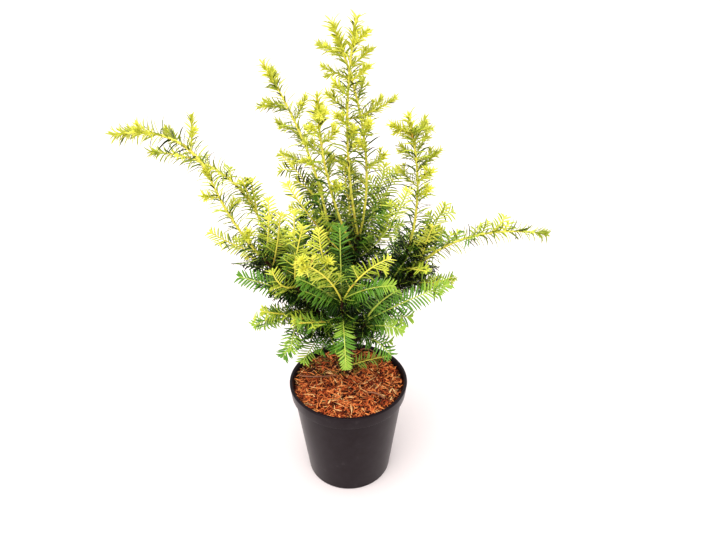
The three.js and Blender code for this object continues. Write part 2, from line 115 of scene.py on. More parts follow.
def leaning(stem, turn, lean):
    # out = up cos(turn) + right sin(turn), and aim = along cos(lean) + out sin(lean), in radians
    along, up, right = stem
    out = column(np.cos(turn)) * up + column(np.sin(turn)) * right
    return out, column(np.cos(lean)) * along + column(np.sin(lean)) * out


def faceOf(curve, across):
    # a flat spray faces up, or the way that puts its right side across a compass direction
    chord = unit(curve[2] - curve[0])
    right = np.array([chord[1], -chord[0], 0.0])
    if across is not None:
        right = np.array([np.cos(radians(across)), np.sin(radians(across)), 0.0])
    return unit(np.cross(right, chord))


# meshes from arrays

noTris = np.zeros((0, 3), int)
noQuads = np.zeros((0, 4), int)


def newHeap():
    # the points and faces that are gathered for one piece
    return {"points": [], "quads": [], "tris": [], "quadSlots": [], "triSlots": [], "count": 0}


def addFaces(heap, points, quads, tris, quadSlots, triSlots):
    # faces count from the first of their own points, and slots are one number or one for each face
    first = heap["count"]
    heap["points"].append(points.reshape(-1, 3))
    heap["quads"].append(quads.reshape(-1, 4) + first)
    heap["tris"].append(tris.reshape(-1, 3) + first)
    heap["quadSlots"].append(np.broadcast_to(quadSlots, len(heap["quads"][-1])))
    heap["triSlots"].append(np.broadcast_to(triSlots, len(heap["tris"][-1])))
    heap["count"] += len(heap["points"][-1])


def gridQuads(rings, sides):
    # faces between neighbouring rings of a grid that closes on itself sideways
    i, j = np.meshgrid(np.arange(rings - 1), np.arange(sides), indexing="ij")
    k = (j + 1) % sides
    return np.stack([i * sides + j, i * sides + k, (i + 1) * sides + k, (i + 1) * sides + j], -1)


def fan(first, sides, middle, isUpper):
    # triangles from the ring that starts at point `first` to its middle point, facing up or down
    j = np.arange(sides)
    edge = [first + j, first + (j + 1) % sides]
    return np.stack([*(edge if isUpper else edge[::-1]), np.full(sides, middle)], -1)


def addTube(heap, rings, slot=0):
    # rings is (stations, sides, 3): a skin over the rings, and a fan to the middle of each end ring
    stations, sides = rings.shape[:2]
    size = stations * sides
    points = np.concatenate([rings.reshape(-1, 3), [rings[0].mean(0), rings[-1].mean(0)]])
    fans = np.concatenate([fan(0, sides, size, False), fan(size - sides, sides, size + 1, True)])
    addFaces(heap, points, gridQuads(stations, sides), fans, slot, slot)


def ringsAlong(path, radii, sides):
    # path + radius (cos(angle) normal + sin(angle) side), square to the path at each station
    along = unit(np.gradient(path, axis=0))
    normal = squareTo(np.array([1.0, 0.3, 0.0]), along)[:, None]
    side = np.cross(along[:, None], normal)
    angle = anglesRound(sides)
    radii = np.broadcast_to(radii, (len(path), sides))
    return path[:, None] + column(radii) * (column(np.cos(angle)) * normal + column(np.sin(angle)) * side)


def newObject(name, data):
    # an object at the origin, in the scene
    thing = bpy.data.objects.new(name, data)
    bpy.context.scene.collection.objects.link(thing)
    return thing


def buildPiece(name, heap, materials, smooth=True):
    # one mesh with the heap's quads first and its triangles after them
    points = np.concatenate(heap["points"])
    quads, tris = np.concatenate(heap["quads"]), np.concatenate(heap["tris"])
    slots = np.concatenate(heap["quadSlots"] + heap["triSlots"]).astype(np.int32)
    corners = np.concatenate([quads.ravel(), tris.ravel()]).astype(np.int32)
    starts = np.concatenate([np.arange(len(quads)) * 4, len(quads) * 4 + np.arange(len(tris)) * 3])
    mesh = bpy.data.meshes.new(name)
    mesh.vertices.add(len(points))
    mesh.vertices.foreach_set("co", points.astype(np.float32).ravel())
    mesh.loops.add(len(corners))
    mesh.loops.foreach_set("vertex_index", corners)
    mesh.polygons.add(len(starts))
    mesh.polygons.foreach_set("loop_start", starts.astype(np.int32))
    mesh.polygons.foreach_set("material_index", slots)
    mesh.polygons.foreach_set("use_smooth", np.full(len(starts), smooth))
    mesh.update(calc_edges=True)
    for material in materials:
        mesh.materials.append(material)
    print(name, 2 * len(quads) + len(tris), "triangles")
    return newObject(name, mesh)


# materials

def socket(material, name):
    # an input of the material's shader
    return material.node_tree.nodes["Principled BSDF"].inputs[name]


def newMaterial(name, colour, roughness, specular):
    # plain values on the shader's own sockets
    material = bpy.data.materials.new(name)
    material.use_nodes = True
    socket(material, "Base Color").default_value = (*colour, 1)
    socket(material, "Roughness").default_value = roughness
    socket(material, "Specular IOR Level").default_value = specular
    return material


def addNode(material, kind, **settings):
    # each setting is the value of one of its inputs, with _ for a space in the input's name
    node = material.node_tree.nodes.new(kind)
    for key, value in settings.items():
        node.inputs[key.replace("_", " ")].default_value = value
    return node


def linkNodes(material, *pairs):
    # each pair is an output and the input that it feeds
    for out, into in pairs:
        material.node_tree.links.new(out, into)


def noiseOn(material, stretch=(1, 1, 1), **settings):
    # noise read in the piece's own coordinates, stretched by a mapping
    place = addNode(material, "ShaderNodeTexCoord")
    mapping = addNode(material, "ShaderNodeMapping", Scale=stretch)
    noise = addNode(material, "ShaderNodeTexNoise", **settings)
    linkNodes(material, (place.outputs["Object"], mapping.inputs["Vector"]),
              (mapping.outputs["Vector"], noise.inputs["Vector"]))
    return noise.outputs["Fac"]


def paint(material, value, stops):
    # the base colour runs through (value, colour) stops
    ramp = addNode(material, "ShaderNodeValToRGB")
    while len(ramp.color_ramp.elements) < len(stops):
        ramp.color_ramp.elements.new(0.5)
    for element, (position, colour) in zip(ramp.color_ramp.elements, stops):
        element.position = position
        element.color = (*colour, 1)
    linkNodes(material, (value, ramp.inputs["Fac"]), (ramp.outputs["Color"], socket(material, "Base Color")))


def addBump(material, value, strength, distance):
    # the surface rises with the value, by up to this distance in metres
    bump = addNode(material, "ShaderNodeBump", Strength=strength, Distance=distance)
    linkNodes(material, (value, bump.inputs["Height"]), (bump.outputs["Normal"], socket(material, "Normal")))


def scaled(colour, factor):
    # colour × factor, and at most 0.9
    return tuple(np.minimum(np.multiply(colour, factor), 0.9))


# trunk and boughs

def limb(on, at, tip, bow, thick, thin, inner=1):
    # a row of the table below: the carrier and the share of the way along it, the tip, how far the middle
    # stands off the chord, the radii at foot and tip, and a factor for the short sprays inside the crown
    return dict(on=on, at=at, tip=tip, bow=bow, thick=thick, thin=thin, inner=inner)


limbs = dict(
    trunk=dict(foot=(1, 34, 170.3), tip=(16, 4, 428), bow=(-3.75, 7.5, 0), thick=5.8, thin=3),
    bough_right=limb("trunk", 0.16, (88, -12, 424), (10, 0, 0), 4.4, 2.3),
    bough_right_arm=limb("bough_right", 0.6, (110, -4, 392), (3, 0, -3), 2.8, 2, inner=0.6),
    bough_right_low=limb("bough_right", 0.42, (113, 30, 366), (0, 4, -6), 2.8, 1.9, inner=0.6),
    bough_left_arm=limb("trunk", 0.42, (-121, -20, 413), (-8, 0, -8), 3.9, 2.2),
    bough_left_back=limb("trunk", 0.56, (-112, 30, 388), (-8, 6, -3), 3.2, 2),
    bough_left_low=limb("trunk", 0.25, (-72, -22, 322), (-4, -2, 0), 3, 1.8),
    bough_front_left=limb("trunk", 0.34, (-70, -52, 384), (-8, -8, -6), 3, 1.8),
    bough_front=limb("trunk", 0.3, (-8, -62, 374), (-3, -12, -3), 3, 1.9),
    bough_front_right=limb("trunk", 0.22, (28, -56, 332), (2, -6, -2), 2.8, 1.8),
    bough_high_left=limb("trunk", 0.6, (-26, 18, 434), (-8, 2, -4), 2.8, 1.9),
    bough_back_left=limb("trunk", 0.29, (-62, 78, 334), (-6, 8, -8), 3.2, 1.8),
    bough_back_right=limb("trunk", 0.38, (58, 84, 338), (4, 8, -8), 3.2, 1.8),
    bough_back=limb("trunk", 0.52, (2, 84, 404), (-2, 10, -8), 3, 1.8),
)

# waves are the bark's ridges: how many stand round the limb, and how far apart they are along it
bark = dict(trunkSides=36, boughSides=20, step=1.1, relief=0.075, flareExtra=3.2, flareFall=9,
            lobes=3, lobeDepth=0.3, domeLength=2.2, domeEnd=0.35, cutOff=(-0.9, 0.45),
            waves=[(2, 31), (3, 17), (5, 12), (7, 7.5), (9, 5.2), (4, 9.5), (11, 3.9)])
curves = {}


def curveOf(row):
    # from its own foot, or from a share of the way along its carrier, to its tip
    foot = mm * np.array(row["foot"]) if "foot" in row else pointAt(curves[row["on"]], row["at"])
    return bowed(foot, mm * np.array(row["tip"]), row["bow"])


def plates(angle, distance, seed):
    # flaking bark: a quarter of the sum of sin(turns angle + 2 pi distance / size + phase), cut off
    total = np.zeros(np.broadcast(angle, distance).shape)
    for wave, (turns, size) in enumerate(bark["waves"]):
        phase = 2 * pi * chance(seed, wave)
        stretch = 0.8 + 0.4 * chance(seed, wave + 20)
        total += np.sin(turns * angle + distance / (size * mm) * 2 * pi * stretch + phase)
    return np.clip(total / 4, *bark["cutOff"])


def limbRings(curve, thick, thin, sides, seed, isTrunk):
    # radius = taper + root flare exp(-distance/fall), times 1 + relief × plates, rounded off at the tip
    length = lengthOf(curve)
    distance = np.linspace(0, length, int(length / (bark["step"] * mm)))
    share, _ = evenShares(curve, distance)
    angle = anglesRound(sides)
    radius = column(mix(thick, thin, share)) * mm
    if isTrunk:
        flare = bark["flareExtra"] * mm * np.exp(-distance / (bark["flareFall"] * mm))
        radius = radius + column(flare) * (1 + bark["lobeDepth"] * np.sin(bark["lobes"] * angle + 1))
    radius = radius * (1 + bark["relief"] * plates(angle[None], distance[:, None], seed))
    dome = np.clip((length - distance) / (bark["domeLength"] * mm), 0, 1)
    radius = radius * column(mix(bark["domeEnd"], 1, np.sqrt(dome)))
    return ringsAlong(pointAt(curve, share), radius, sides)


barkMaterial = newMaterial("yew bark", (0.1, 0.05, 0.03), 0.85, 0.25)
barkFlakes = noiseOn(barkMaterial, (1, 1, 0.35), Scale=420.0, Detail=6.0, Roughness=0.65)
paint(barkMaterial, barkFlakes, [
    (0.3, (0.014, 0.006, 0.005)), (0.45, (0.06, 0.022, 0.014)),
    (0.58, (0.13, 0.055, 0.034)), (0.75, (0.24, 0.14, 0.1))])
addBump(barkMaterial, barkFlakes, 0.6, 0.0006)

for seed, (name, row) in enumerate(limbs.items()):
    isTrunk = "foot" in row
    curves[name] = curveOf(row)
    heap = newHeap()
    sides = bark["trunkSides" if isTrunk else "boughSides"]
    addTube(heap, limbRings(curves[name], row["thick"], row["thin"], sides, seed, isTrunk))
    piece = buildPiece(name + "_bark", heap, [barkMaterial])
    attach(piece, "root")
    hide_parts(name)


# leafy shoots

def grows(on, at, tip, bow, tone, kind=(), **more):
    # a row of the two tables below: the carrier and the share of the way along it, the tip, how far the
    # middle stands off the chord, the tones, the kind of shoot and what else it has
    return dict(kind, on=on, at=at, tip=tip, bow=bow, tone=tone, **more)


# across is the compass direction that a spray's right side lies on, and facing the way its upper side looks
leader = dict(round=True, across=0)
upright = dict(across=0)
front = dict(facing=(0, -0.75, 0.66))
combed = dict(front, habit="comb")
bushy = dict(habit="raised")
tuft = dict(habit="tufted")

# twigs is the number of side twigs and their length, start where the first of them stands, raised how far
# they turn up from the spray's plane, wander how much their turns vary, and seed the start of their random
# numbers; the tones run from foot to tip, on the scale of the tints: 0 is darkest and 5 is gold
shoots = dict(
    leader_tall=grows("trunk", 0.94, (-15, 0, 705), (26, 0, -6), (1.4, 5.2), leader, twigs=(8, 46),
        start=0.3, seed=241),
    leader_twin=grows("trunk", 1, (15, -6, 711), (-13, -3, 6), (1.6, 5.2), leader, twigs=(9, 42),
        start=0.3, seed=2935),
    leader_left=grows("bough_high_left", 1, (-105, 45, 654), (13, 2, 0), (1.4, 5.2), leader,
        twigs=(6, 46), start=0.36, seed=908),
    leader_right=grows("bough_right", 1, (76, -26, 602), (11, -2, 0), (1.6, 5.2), leader, twigs=(8, 42),
        start=0.36, seed=3015, habit="clothed"),
    upright_front=grows("trunk", 0.87, (-32, -45, 630), (-12, -10, 5), (1.2, 5), leader, twigs=(7, 36),
        start=0.42, seed=5990),
    upright_back=grows("bough_high_left", 0.8, (-93, 66, 530), (16, 6, -4), (1.4, 5.2), twigs=(4, 36),
        across=180),
    upright_left=grows("trunk", 0.8, (-73, -60, 529), (-2, -6, -2), (1.2, 5.3), upright, twigs=(3, 36)),
    upright_inner=grows("trunk", 0.93, (55, 50, 519), (6, 4, -2), (0.4, 4.8), upright, twigs=(4, 38)),
    upright_cross=grows("trunk", 0.84, (77, -58, 520), (5, -8, -8), (0.6, 4.8), upright, twigs=(3, 34)),
    upright_right=grows("bough_right_low", 1, (146, 48, 458), (-4, 1, 2), (0.8, 4.8), upright,
        twigs=(4, 34)),
    upright_gold=grows("bough_right_arm", 0.92, (110, -18, 448), (-4, -2, 0), (3.6, 5), upright,
        twigs=(2, 26)),
    arm_right=grows("bough_right_arm", 1, (275, -20, 439), (-12, -2, 20), (2.4, 4), bushy, twigs=(6, 30),
        raised=40, wander=48, seed=4165),
    arm_left=grows("bough_left_arm", 1, (-176, -28, 538), (-4, 0, -6), (3.6, 4.8), bushy, twigs=(3, 30),
        round=True, start=0.1, seed=277),
    arm_left_far=grows("arm_left", 1, (-281, -30, 581), (12, 0, 18), (4, 4.9), bushy, twigs=(4, 44),
        round=True, start=0.1, seed=2868),
    arm_left_upper=grows("bough_left_back", 1, (-270, 52, 537), (30, 0, 36), (3, 4.8), bushy,
        twigs=(5, 30), raised=20, wander=48, seed=15593),
    arm_left_low=grows("bough_left_back", 0.92, (-191, 4, 437), (-2, 0, -5), (3.6, 4.8), twigs=(3, 28),
        across=70, facing=(-0.2, -0.8, 0.55)),
    frond_fishbone=grows("bough_left_arm", 0.93, (-99, -40, 501), (3, -4, 0), (2.4, 5), upright),
    frond_left_second=grows("bough_left_arm", 0.84, (-83, -54, 488), (2, -6, 0), (1.8, 4.8), upright,
        twigs=(3, 30)),
    frond_left_third=grows("bough_front_left", 1, (-53, -78, 480), (-4, -2, -2), (1.6, 4.8), upright,
        twigs=(3, 28)),
    frond_left_dark=grows("bough_front_left", 0.82, (-141, -72, 407), (2, -4, 3), (0.6, 1.9), combed,
        across=60),
    frond_left_gold=grows("bough_front_left", 0.97, (-93, -98, 429), (-3, -8, -6), (2.6, 4.2),
        twigs=(1, 26), across=30),
    frond_low_left=grows("bough_left_low", 1, (-133, -50, 315), (0, -4, 6), (1.7, 3.2), front,
        twigs=(4, 30)),
    frond_low_gold=grows("bough_left_low", 0.88, (-114, -84, 361), (0, -6, 2), (2.4, 4), front,
        twigs=(1, 26)),
    frond_rim_left=grows("bough_left_low", 0.66, (-93, -68, 272), (-2, -6, 8), (1.1, 2.4), combed,
        twigs=(1, 32)),
    frond_drooping=grows("bough_front", 0.66, (-3, -114, 287), (0, -12, 16), (2.2, 2.9), habit="broad"),
    frond_inner=grows("bough_front", 0.45, (-66, -92, 346), (-6, -8, 6), (2.2, 3.4), front,
        twigs=(4, 28)),
    frond_upright=grows("bough_front", 1, (-8, -100, 488), (0, -8, 2), (0.7, 1.7), upright, habit="comb"),
    frond_gold=grows("bough_front", 0.94, (-34, -94, 482), (-5, -6, -4), (1.6, 4.6), upright,
        twigs=(3, 28)),
    frond_cluster=grows("bough_front", 0.88, (-58, -132, 457), (6, -4, 11), (1.3, 5.5), twigs=(4, 30),
        across=20),
    frond_front_gold=grows("bough_front", 0.86, (52, -108, 449), (-4, -6, 12), (1.9, 4.2), twigs=(2, 30),
        across=-20),
    frond_front_mid=grows("bough_front_right", 1, (62, -118, 410), (-3, -4, 5), (0.8, 2.8), twigs=(1, 30),
        across=-30),
    frond_right_long=grows("bough_front_right", 0.9, (134, -76, 394), (0, -8, 8), (1.4, 3.4), combed,
        twigs=(2, 36)),
    frond_right_low=grows("bough_front_right", 0.72, (75, -88, 330), (0, -8, 10), (1.6, 2.9), front,
        twigs=(1, 30), habit="broad"),
    frond_rim_right=grows("bough_front_right", 0.5, (60, -80, 282), (0, -8, 12), (1.3, 2.6), combed,
        twigs=(1, 28)),
    frond_right_gold=grows("bough_right", 0.8, (108, -54, 401), (0, -4, 2), (2.6, 4.4), twigs=(1, 22),
        facing=(0.2, -0.35, 0.9)),
    frond_right_end=grows("bough_right_low", 0.7, (159, 20, 351), (0, -2, -6), (2.2, 3.4), front,
        twigs=(4, 30)),
    back_left=grows("bough_back_left", 1, (-112, 132, 378), (4, 4, -4), (1.6, 3.8), twigs=(4, 36)),
    back_left_low=grows("bough_back_left", 0.8, (-66, 136, 306), (4, 2, 6), (1.2, 2.8), twigs=(3, 30)),
    back_right=grows("bough_back_right", 1, (112, 134, 374), (-4, 4, -4), (1.6, 3.8), twigs=(4, 36)),
    back_right_low=grows("bough_back_right", 0.8, (60, 148, 300), (-4, 2, 6), (1.2, 2.8), twigs=(3, 30)),
    back_upright=grows("bough_back", 1, (10, 130, 498), (0, 8, -6), (1.8, 4.4), twigs=(4, 36),
        across=180),
    back_upright_left=grows("bough_back", 0.84, (-60, 118, 454), (0, 8, -6), (1.8, 4.2), twigs=(3, 32),
        across=150),
    back_upright_right=grows("bough_back", 0.72, (66, 124, 446), (0, 8, -6), (1.8, 4.2), twigs=(3, 32),
        across=210),
    back_drooping=grows("bough_back_left", 0.6, (-4, 140, 332), (0, 6, 8), (1.2, 3), twigs=(2, 30),
        across=180),
)

# lesser sprays that carry no twigs of their own
sprays = dict(
    inner_right=grows("upright_inner", 0.4, (72, 58, 505), (3, 0, 0), (0.6, 4.2), upright),
    fan_right=grows("upright_cross", 0.42, (58, -44, 498), (3, 0, 0), (0.6, 3), upright),
    small_right=grows("upright_cross", 0.12, (49, -30, 472), (6, 0, 0), (1.4, 4.4), upright),
    tuft_right=grows("upright_right", 0.3, (139, 36, 423), (0, 0, 4), (4.2, 5.4), tuft),
    gold_right=grows("upright_gold", 0.15, (116, -26, 455), (0, 0, 4), (3.2, 5), upright),
    front_middle=grows("bough_front", 0.9, (57, -116, 415), (0, -4, 8), (1.8, 3.1), front, habit="broad"),
    low_right=grows("bough_front_right", 0.82, (87, -66, 336), (0, 0, 6), (1.1, 2.8), combed),
    on_mulch=grows("trunk", 0.02, (71, 52, 181), (0, 0, 2), (2.2, 3.6), front, habit="feather"),
    rim_left=grows("bough_left_low", 0.42, (-65, -66, 263), (0, -3, 5), (2, 3.3), combed),
    dark_left=grows("bough_left_low", 0.5, (-16, -70, 285), (0, -4, 8), (1, 2), front),
    hanging_left=grows("bough_left_low", 0.86, (-79, -84, 297), (-3, -4, 8), (1.8, 2.8), combed),
    low_gold=grows("bough_front_left", 0.42, (-72, -84, 346), (0, -4, 4), (2.8, 4.6), front),
    tip_left=grows("arm_left_upper", 0.24, (-134, 46, 496), (0, 0, 4), (3, 5.2), upright),
    tip_left_two=grows("arm_left_upper", 0.32, (-144, 34, 500), (0, 0, 4), (3, 5.2), upright),
    third_left=grows("frond_left_third", 0.3, (-65, -62, 493), (0, 0, 4), (2.6, 4.8), upright),
    high=grows("trunk", 0.97, (-2, 12, 539), (-4, 2, 0), (2, 4.4), upright),
    back_left=grows("upright_back", 0.5, (-71, 52, 493), (0, 0, 4), (3, 5.2), across=180),
    # the deep sprays are dark fill inside the crown: their low tones are painted shade
    deep_left=grows("bough_front_left", 0.7, (-86, -14, 448), (0, 0, 4), (-0.4, 1.8), upright),
    deep_left_two=grows("bough_left_arm", 0.55, (-60, 6, 462), (0, 0, 4), (-0.4, 1.8), upright),
    deep_left_three=grows("bough_left_arm", 0.75, (-112, 0, 468), (0, 0, 4), (-0.2, 2.4), upright),
    deep_middle=grows("bough_high_left", 0.5, (-40, 26, 480), (0, 0, 4), (-0.4, 1.8), upright),
    deep_right=grows("trunk", 0.62, (48, -8, 412), (0, 0, 4), (-0.6, 0.9), upright),
    deep_right_two=grows("bough_right", 0.32, (76, -22, 394), (0, 0, 4), (-0.6, 1.1), upright),
    deep_right_three=grows("bough_right", 0.26, (54, -28, 380), (0, 0, 4), (-0.6, 0.9), upright),
    deep_right_four=grows("bough_right", 0.5, (92, -20, 420), (0, 0, 4), (-0.4, 1.6), upright),
    cap_left=grows("leader_right", 0.84, (56, -30, 590), (-2, 0, 3), (4, 5.4), tuft),
    cap_right=grows("leader_right", 0.88, (107, -24, 584), (2, 0, 2), (4.2, 5.4), tuft),
    tuft_right_two=grows("leader_right", 0.68, (120, -18, 556), (2, 0, -2), (3.6, 5.2), tuft),
    twin_right=grows("leader_twin", 0.56, (62, -8, 619), (2, 0, -3), (3.8, 5.4), tuft),
    tuft_left=grows("leader_left", 0.74, (-114, 44, 598), (-2, 0, 2), (3.8, 5.4), tuft),
    arm_tuft=grows("arm_right", 0.62, (214, -16, 463), (2, 0, 0), (4.2, 5.2), upright, habit="feather"),
    star_high=grows("frond_cluster", 0.86, (-52, -134, 463), (-1, 0, 0), (4.8, 5.4), tuft),
    star_middle=grows("frond_gold", 0.62, (-38, -101, 449), (0, 0, 0), (4.2, 5.2), habit="bud"),
    star_right=grows("frond_gold", 0.56, (-22, -102, 444), (0, 0, 1), (4.2, 5.2), tuft),
    star_low=grows("frond_cluster", 0.84, (-53, -137, 449), (0, 0, 0), (4.8, 5.4), tuft),
    # these deep sprays are dark fill too, with low tones that are painted shade
    deep_front=grows("bough_front_left", 0.8, (-56, -52, 474), (0, 0, 0), (0.4, 2.4), upright),
    deep_front_two=grows("bough_front_left", 0.6, (-42, -56, 462), (0, 0, 0), (-0.4, 1.6), upright),
    front_green=grows("bough_front", 0.84, (-60, -104, 420), (0, -4, 6), (1.2, 2.8), combed),
    front_green_low=grows("bough_front", 0.7, (-57, -96, 398), (0, -4, 6), (1, 2.4), combed),
    rim_deep=grows("bough_left_low", 0.3, (-40, -60, 274), (0, -4, 6), (0.6, 1.8), combed),
    rim_deep_left=grows("bough_left_low", 0.55, (-54, -48, 289), (0, -4, 5), (0.2, 1.4), combed),
    rim_deep_three=grows("bough_left_low", 0.38, (-36, -52, 286), (0, -4, 5), (0.2, 1.6), combed),
    rim_deep_two=grows("bough_front", 0.26, (-18, -76, 286), (0, -4, 6), (0.8, 2.2), combed),
    rim_deep_right=grows("bough_front_right", 0.36, (36, -58, 290), (0, -3, 5), (0, 1.4), combed),
    gold_right_low=grows("bough_right_low", 0.6, (124, -42, 376), (0, -2, 4), (2.2, 4.4), front,
        habit="feather"),
    back_left_two=grows("leader_left", 0.3, (-34, 10, 497), (0, 0, 4), (3.6, 5.2), upright,
        habit="tufted"),
)

# hold is the radius that a shoot's stem keeps clear, at its foot and tip; a stem is young where the tone at
# youngAt of the way along it is above youngFrom; stray is the share of dull needles at the foot
stems = dict(sides=8, twigSides=6, step=4, knot=11, knotSize=0.07, tipTrim=1, hold=(1.6, 0.8), youngAt=0.4,
             youngFrom=2.65, stray=0.1, roundStray=0.7, spraySeed=400)
# stemShare shortens a flat spray's twigs and a round shoot's, to leave room for the needles at their tips
twigs = dict(start=0.2, last=0.9, lean=52, shrink=0.75, spread=(0.85, 1.15), wander=14, arch=0.08,
             shortest=21, clear=0.6, stemShare=(0.72, 0.95), dimmer=0.5, brighter=0.8, top=5.2,
             tuftTones=(3.2, 5.4), seedStep=0.031)
fineTwigs = dict(fewer=1, start=0.05, last=0.6, reach=0.95, shortest=20, seed=300)
budTwigs = dict(count=1, start=0.3, last=0.7, reach=14, spread=(0.7, 1.1), lean=40, brighter=0.8, top=5.4,
                seedStep=0.007)
# low and high are the heights between which these sprays come to their full number and length; their tone
# runs dark as painted shade inside the crown
innerSprays = dict(start=0.24, last=0.98, pitch=3.1, turnVary=60, lean=56, leanVary=20, lift=0.15, reach=62,
                   shrink=0.7, spread=(0.65, 1.1), sag=0.06, low=250, high=340, lowNumber=0.4, lowReach=0.5,
                   stemFace=(0.3, -0.2, 1.0), outward=0.6, upward=0.7, tone=(-0.7, 1.1), seed=500,
                   needleSeed=700, seedStep=0.017)

# pitch is the room between needles, and lean their degrees from the stem at its foot and tip; lift says how
# far they stand up from the plane of a flat spray, and spread how far round a stem they go; at the tip length
# is shrink of itself; shade is the share of ones darkened as painted shade, which hang below a flat spray,
# and bare the share that the foot still has; tuft more needles stand in the last plume millimetres; droop and
# sickle bend a needle down and back, twist turns it, and the last pair is the stem's radius at its foot and
# tip
habits = dict(
    flat=dict(pitch=2.2, lean=(55, 36), lift=16, wander=10, length=23.5, shrink=0.6, width=2.2, shade=0.3,
        droop=0.2, sickle=0.34, tuft=5, plume=5, stem=(1.4, 0.85)),
    feather=dict(pitch=2.3, lean=(55, 38), lift=12, wander=9, length=19.5, shrink=0.62, width=2.3,
        shade=0.3, droop=0.16, sickle=0.3, tuft=4, plume=4, stem=(0.95, 0.55)),
    broad=dict(pitch=1.6, lean=(57, 36), lift=12, wander=7, length=21.5, shrink=0.56, width=2.6,
        shade=0.14, droop=0.16, sickle=0.26, tuft=4, plume=4, stem=(1.1, 0.65)),
    comb=dict(pitch=2.2, lean=(60, 36), lift=12, wander=6, length=23, shrink=0.68, width=2.7, shade=0.1,
        droop=0.2, sickle=0.3, tuft=3, plume=5, stem=(1.05, 0.65)),
    round=dict(pitch=1.8, bare=0.5, lean=(46, 34), spread=1.0, wander=16, length=25.5, shrink=0.56,
        width=2.2, shade=0.1, droop=0.5, sickle=0, tuft=60, plume=40, twist=65, stem=(2, 1.25)),
    raised=dict(pitch=1.35, lean=(56, 34), spread=1.0, wander=18, length=23, shrink=0.6, width=2.3,
        shade=0.14, droop=0.42, sickle=0, tuft=28, plume=16, twist=50, stem=(2.1, 1.2)),
    tufted=dict(pitch=0.8, lean=(48, 26), spread=0.9, wander=16, length=13, shrink=0.75, width=1.7,
        shade=0.06, droop=0.15, sickle=0, tuft=14, plume=14, twist=45, stem=(1.0, 0.6)),
    bud=dict(pitch=1.0, lean=(44, 24), spread=0.9, wander=16, length=9.5, shrink=0.75, width=1.8,
        shade=0.06, droop=0.12, sickle=0, tuft=6, plume=3.5, twist=60, stem=(0.7, 0.5)),
)
habits["clothed"] = {**habits["round"], "bare": 1, "pitch": 1.5}
needleShape = dict(stations=(0, 0.3, 0.7), widths=(0.55, 1, 0.84), ridge=0.5, keel=0.3)
# how needles vary: degrees of lean, sizes as factors, and tones, which drift from patch to patch of the stem;
# full is what bare comes to at the tip
needleRule = dict(first=2.5, last=1, full=1.2, leanVary=14, size=(0.85, 1.1), bend=(0.5, 1.5), twist=12,
                  tuftLean=6, tuftVary=20, tuftFan=16, tuftSize=(0.5, 0.8), shadeTurn=118, shadeEnd=0.85,
                  shadeTone=0.55, toneVary=0.8, patch=24, strayTone=1, strayVary=1.4, goldenFrom=3.9)
goldenAngle = 137.5
beds = {key: [] for key in ("root", "aim", "face", "bend", "length", "width", "tint")}


def growNeedles(curve, faceUp, habitName, seed, tone, stray):
    # needle k stands at first + k × pitch: by turns left and right in a flat spray, else round the stem
    # by the golden angle; it leans by mix(lean) at share², and its length falls off with share³
    habit, rule = habits[habitName], needleRule
    isFlat = "lift" in habit
    length = lengthOf(curve)
    along = np.arange(rule["first"] * mm, length - rule["last"] * mm, habit["pitch"] * mm)
    crowding = mix(habit.get("bare", 1), rule["full"], along / length)
    along = along[chance(seed + 0.6, np.arange(len(along))) < crowding]
    fromTip = habit["plume"] * chance(seed + 0.5, np.arange(habit["tuft"]))
    distance = np.concatenate([along, length - fromTip * mm])
    fromTip = np.concatenate([0 * along, fromTip / habit["plume"]])
    order = np.arange(len(distance))
    inTuft = order >= len(along)
    share, _ = evenShares(curve, distance)
    heading, up, right = frameAt(curve, share, faceUp)
    luck = [chance(seed + 0.13 * draw, order) for draw in range(5)]
    isShade = (chance(seed + 0.9, order) < habit["shade"]) & (share < rule["shadeEnd"]) & ~inTuft
    if isFlat:
        turn = np.where(order % 2, 1, -1) * np.where(isShade, rule["shadeTurn"], 90 - habit["lift"])
    else:
        turn = ((order * goldenAngle + 360 * chance(seed, 7)) % 360 - 180) * habit["spread"]
    turn = np.radians(turn + habit["wander"] * (2 * luck[0] - 1))
    lean = mix(*habit["lean"], share ** 2) + rule["leanVary"] * (luck[1] - 0.5)
    tuftLean = rule["tuftLean"] + rule["tuftVary"] * luck[1] + rule["tuftFan"] * fromTip
    out, aim = leaning((heading, up, right), turn, np.radians(np.where(inTuft, tuftLean, lean)))
    face = squareTo(up if isFlat else heading, aim)
    bend = -habit["droop"] * column(mix(*rule["bend"], luck[4])) * face - habit["sickle"] * heading
    twist = column(np.radians(habit.get("twist", rule["twist"]) * (2 * chance(seed + 0.8, order) - 1)))
    reach = habit["length"] * mm * mix(1, habit["shrink"], share ** 3) * mix(*rule["size"], luck[2])
    reach = np.where(inTuft, mix(*rule["tuftSize"], fromTip) * reach, reach)
    patch = chance(seed, 50 + np.floor(distance / (rule["patch"] * mm)))
    value = mix(*tone, share) + rule["toneVary"] * (patch - 0.5)
    value = np.where(luck[3] < stray * (1 - share), rule["strayTone"] + rule["strayVary"] * luck[4], value)
    # needles in the shade share take a darker tone: painted shade below the spray
    value = np.where(isShade, rule["shadeTone"] * value, value)
    # tints count from dark, 0, to gold, 5; on a golden shoot olive, 6, and moss, 7, stand in for 2 and 3
    tint = np.clip(np.round(value), 0, 5).astype(int)
    isDulled = (tone[1] > rule["goldenFrom"]) & ((tint == 2) | (tint == 3))
    needles = dict(root=pointAt(curve, share) + out * 0.5 * habit["stem"][1] * mm, aim=aim,
                   face=np.cos(twist) * face + np.sin(twist) * np.cross(aim, face), bend=bend,
                   length=reach, width=habit["width"] * mm * mix(*rule["size"], luck[3]),
                   tint=np.where(isDulled, tint + 4, tint))
    for key, values in needles.items():
        beds[key].append(values)


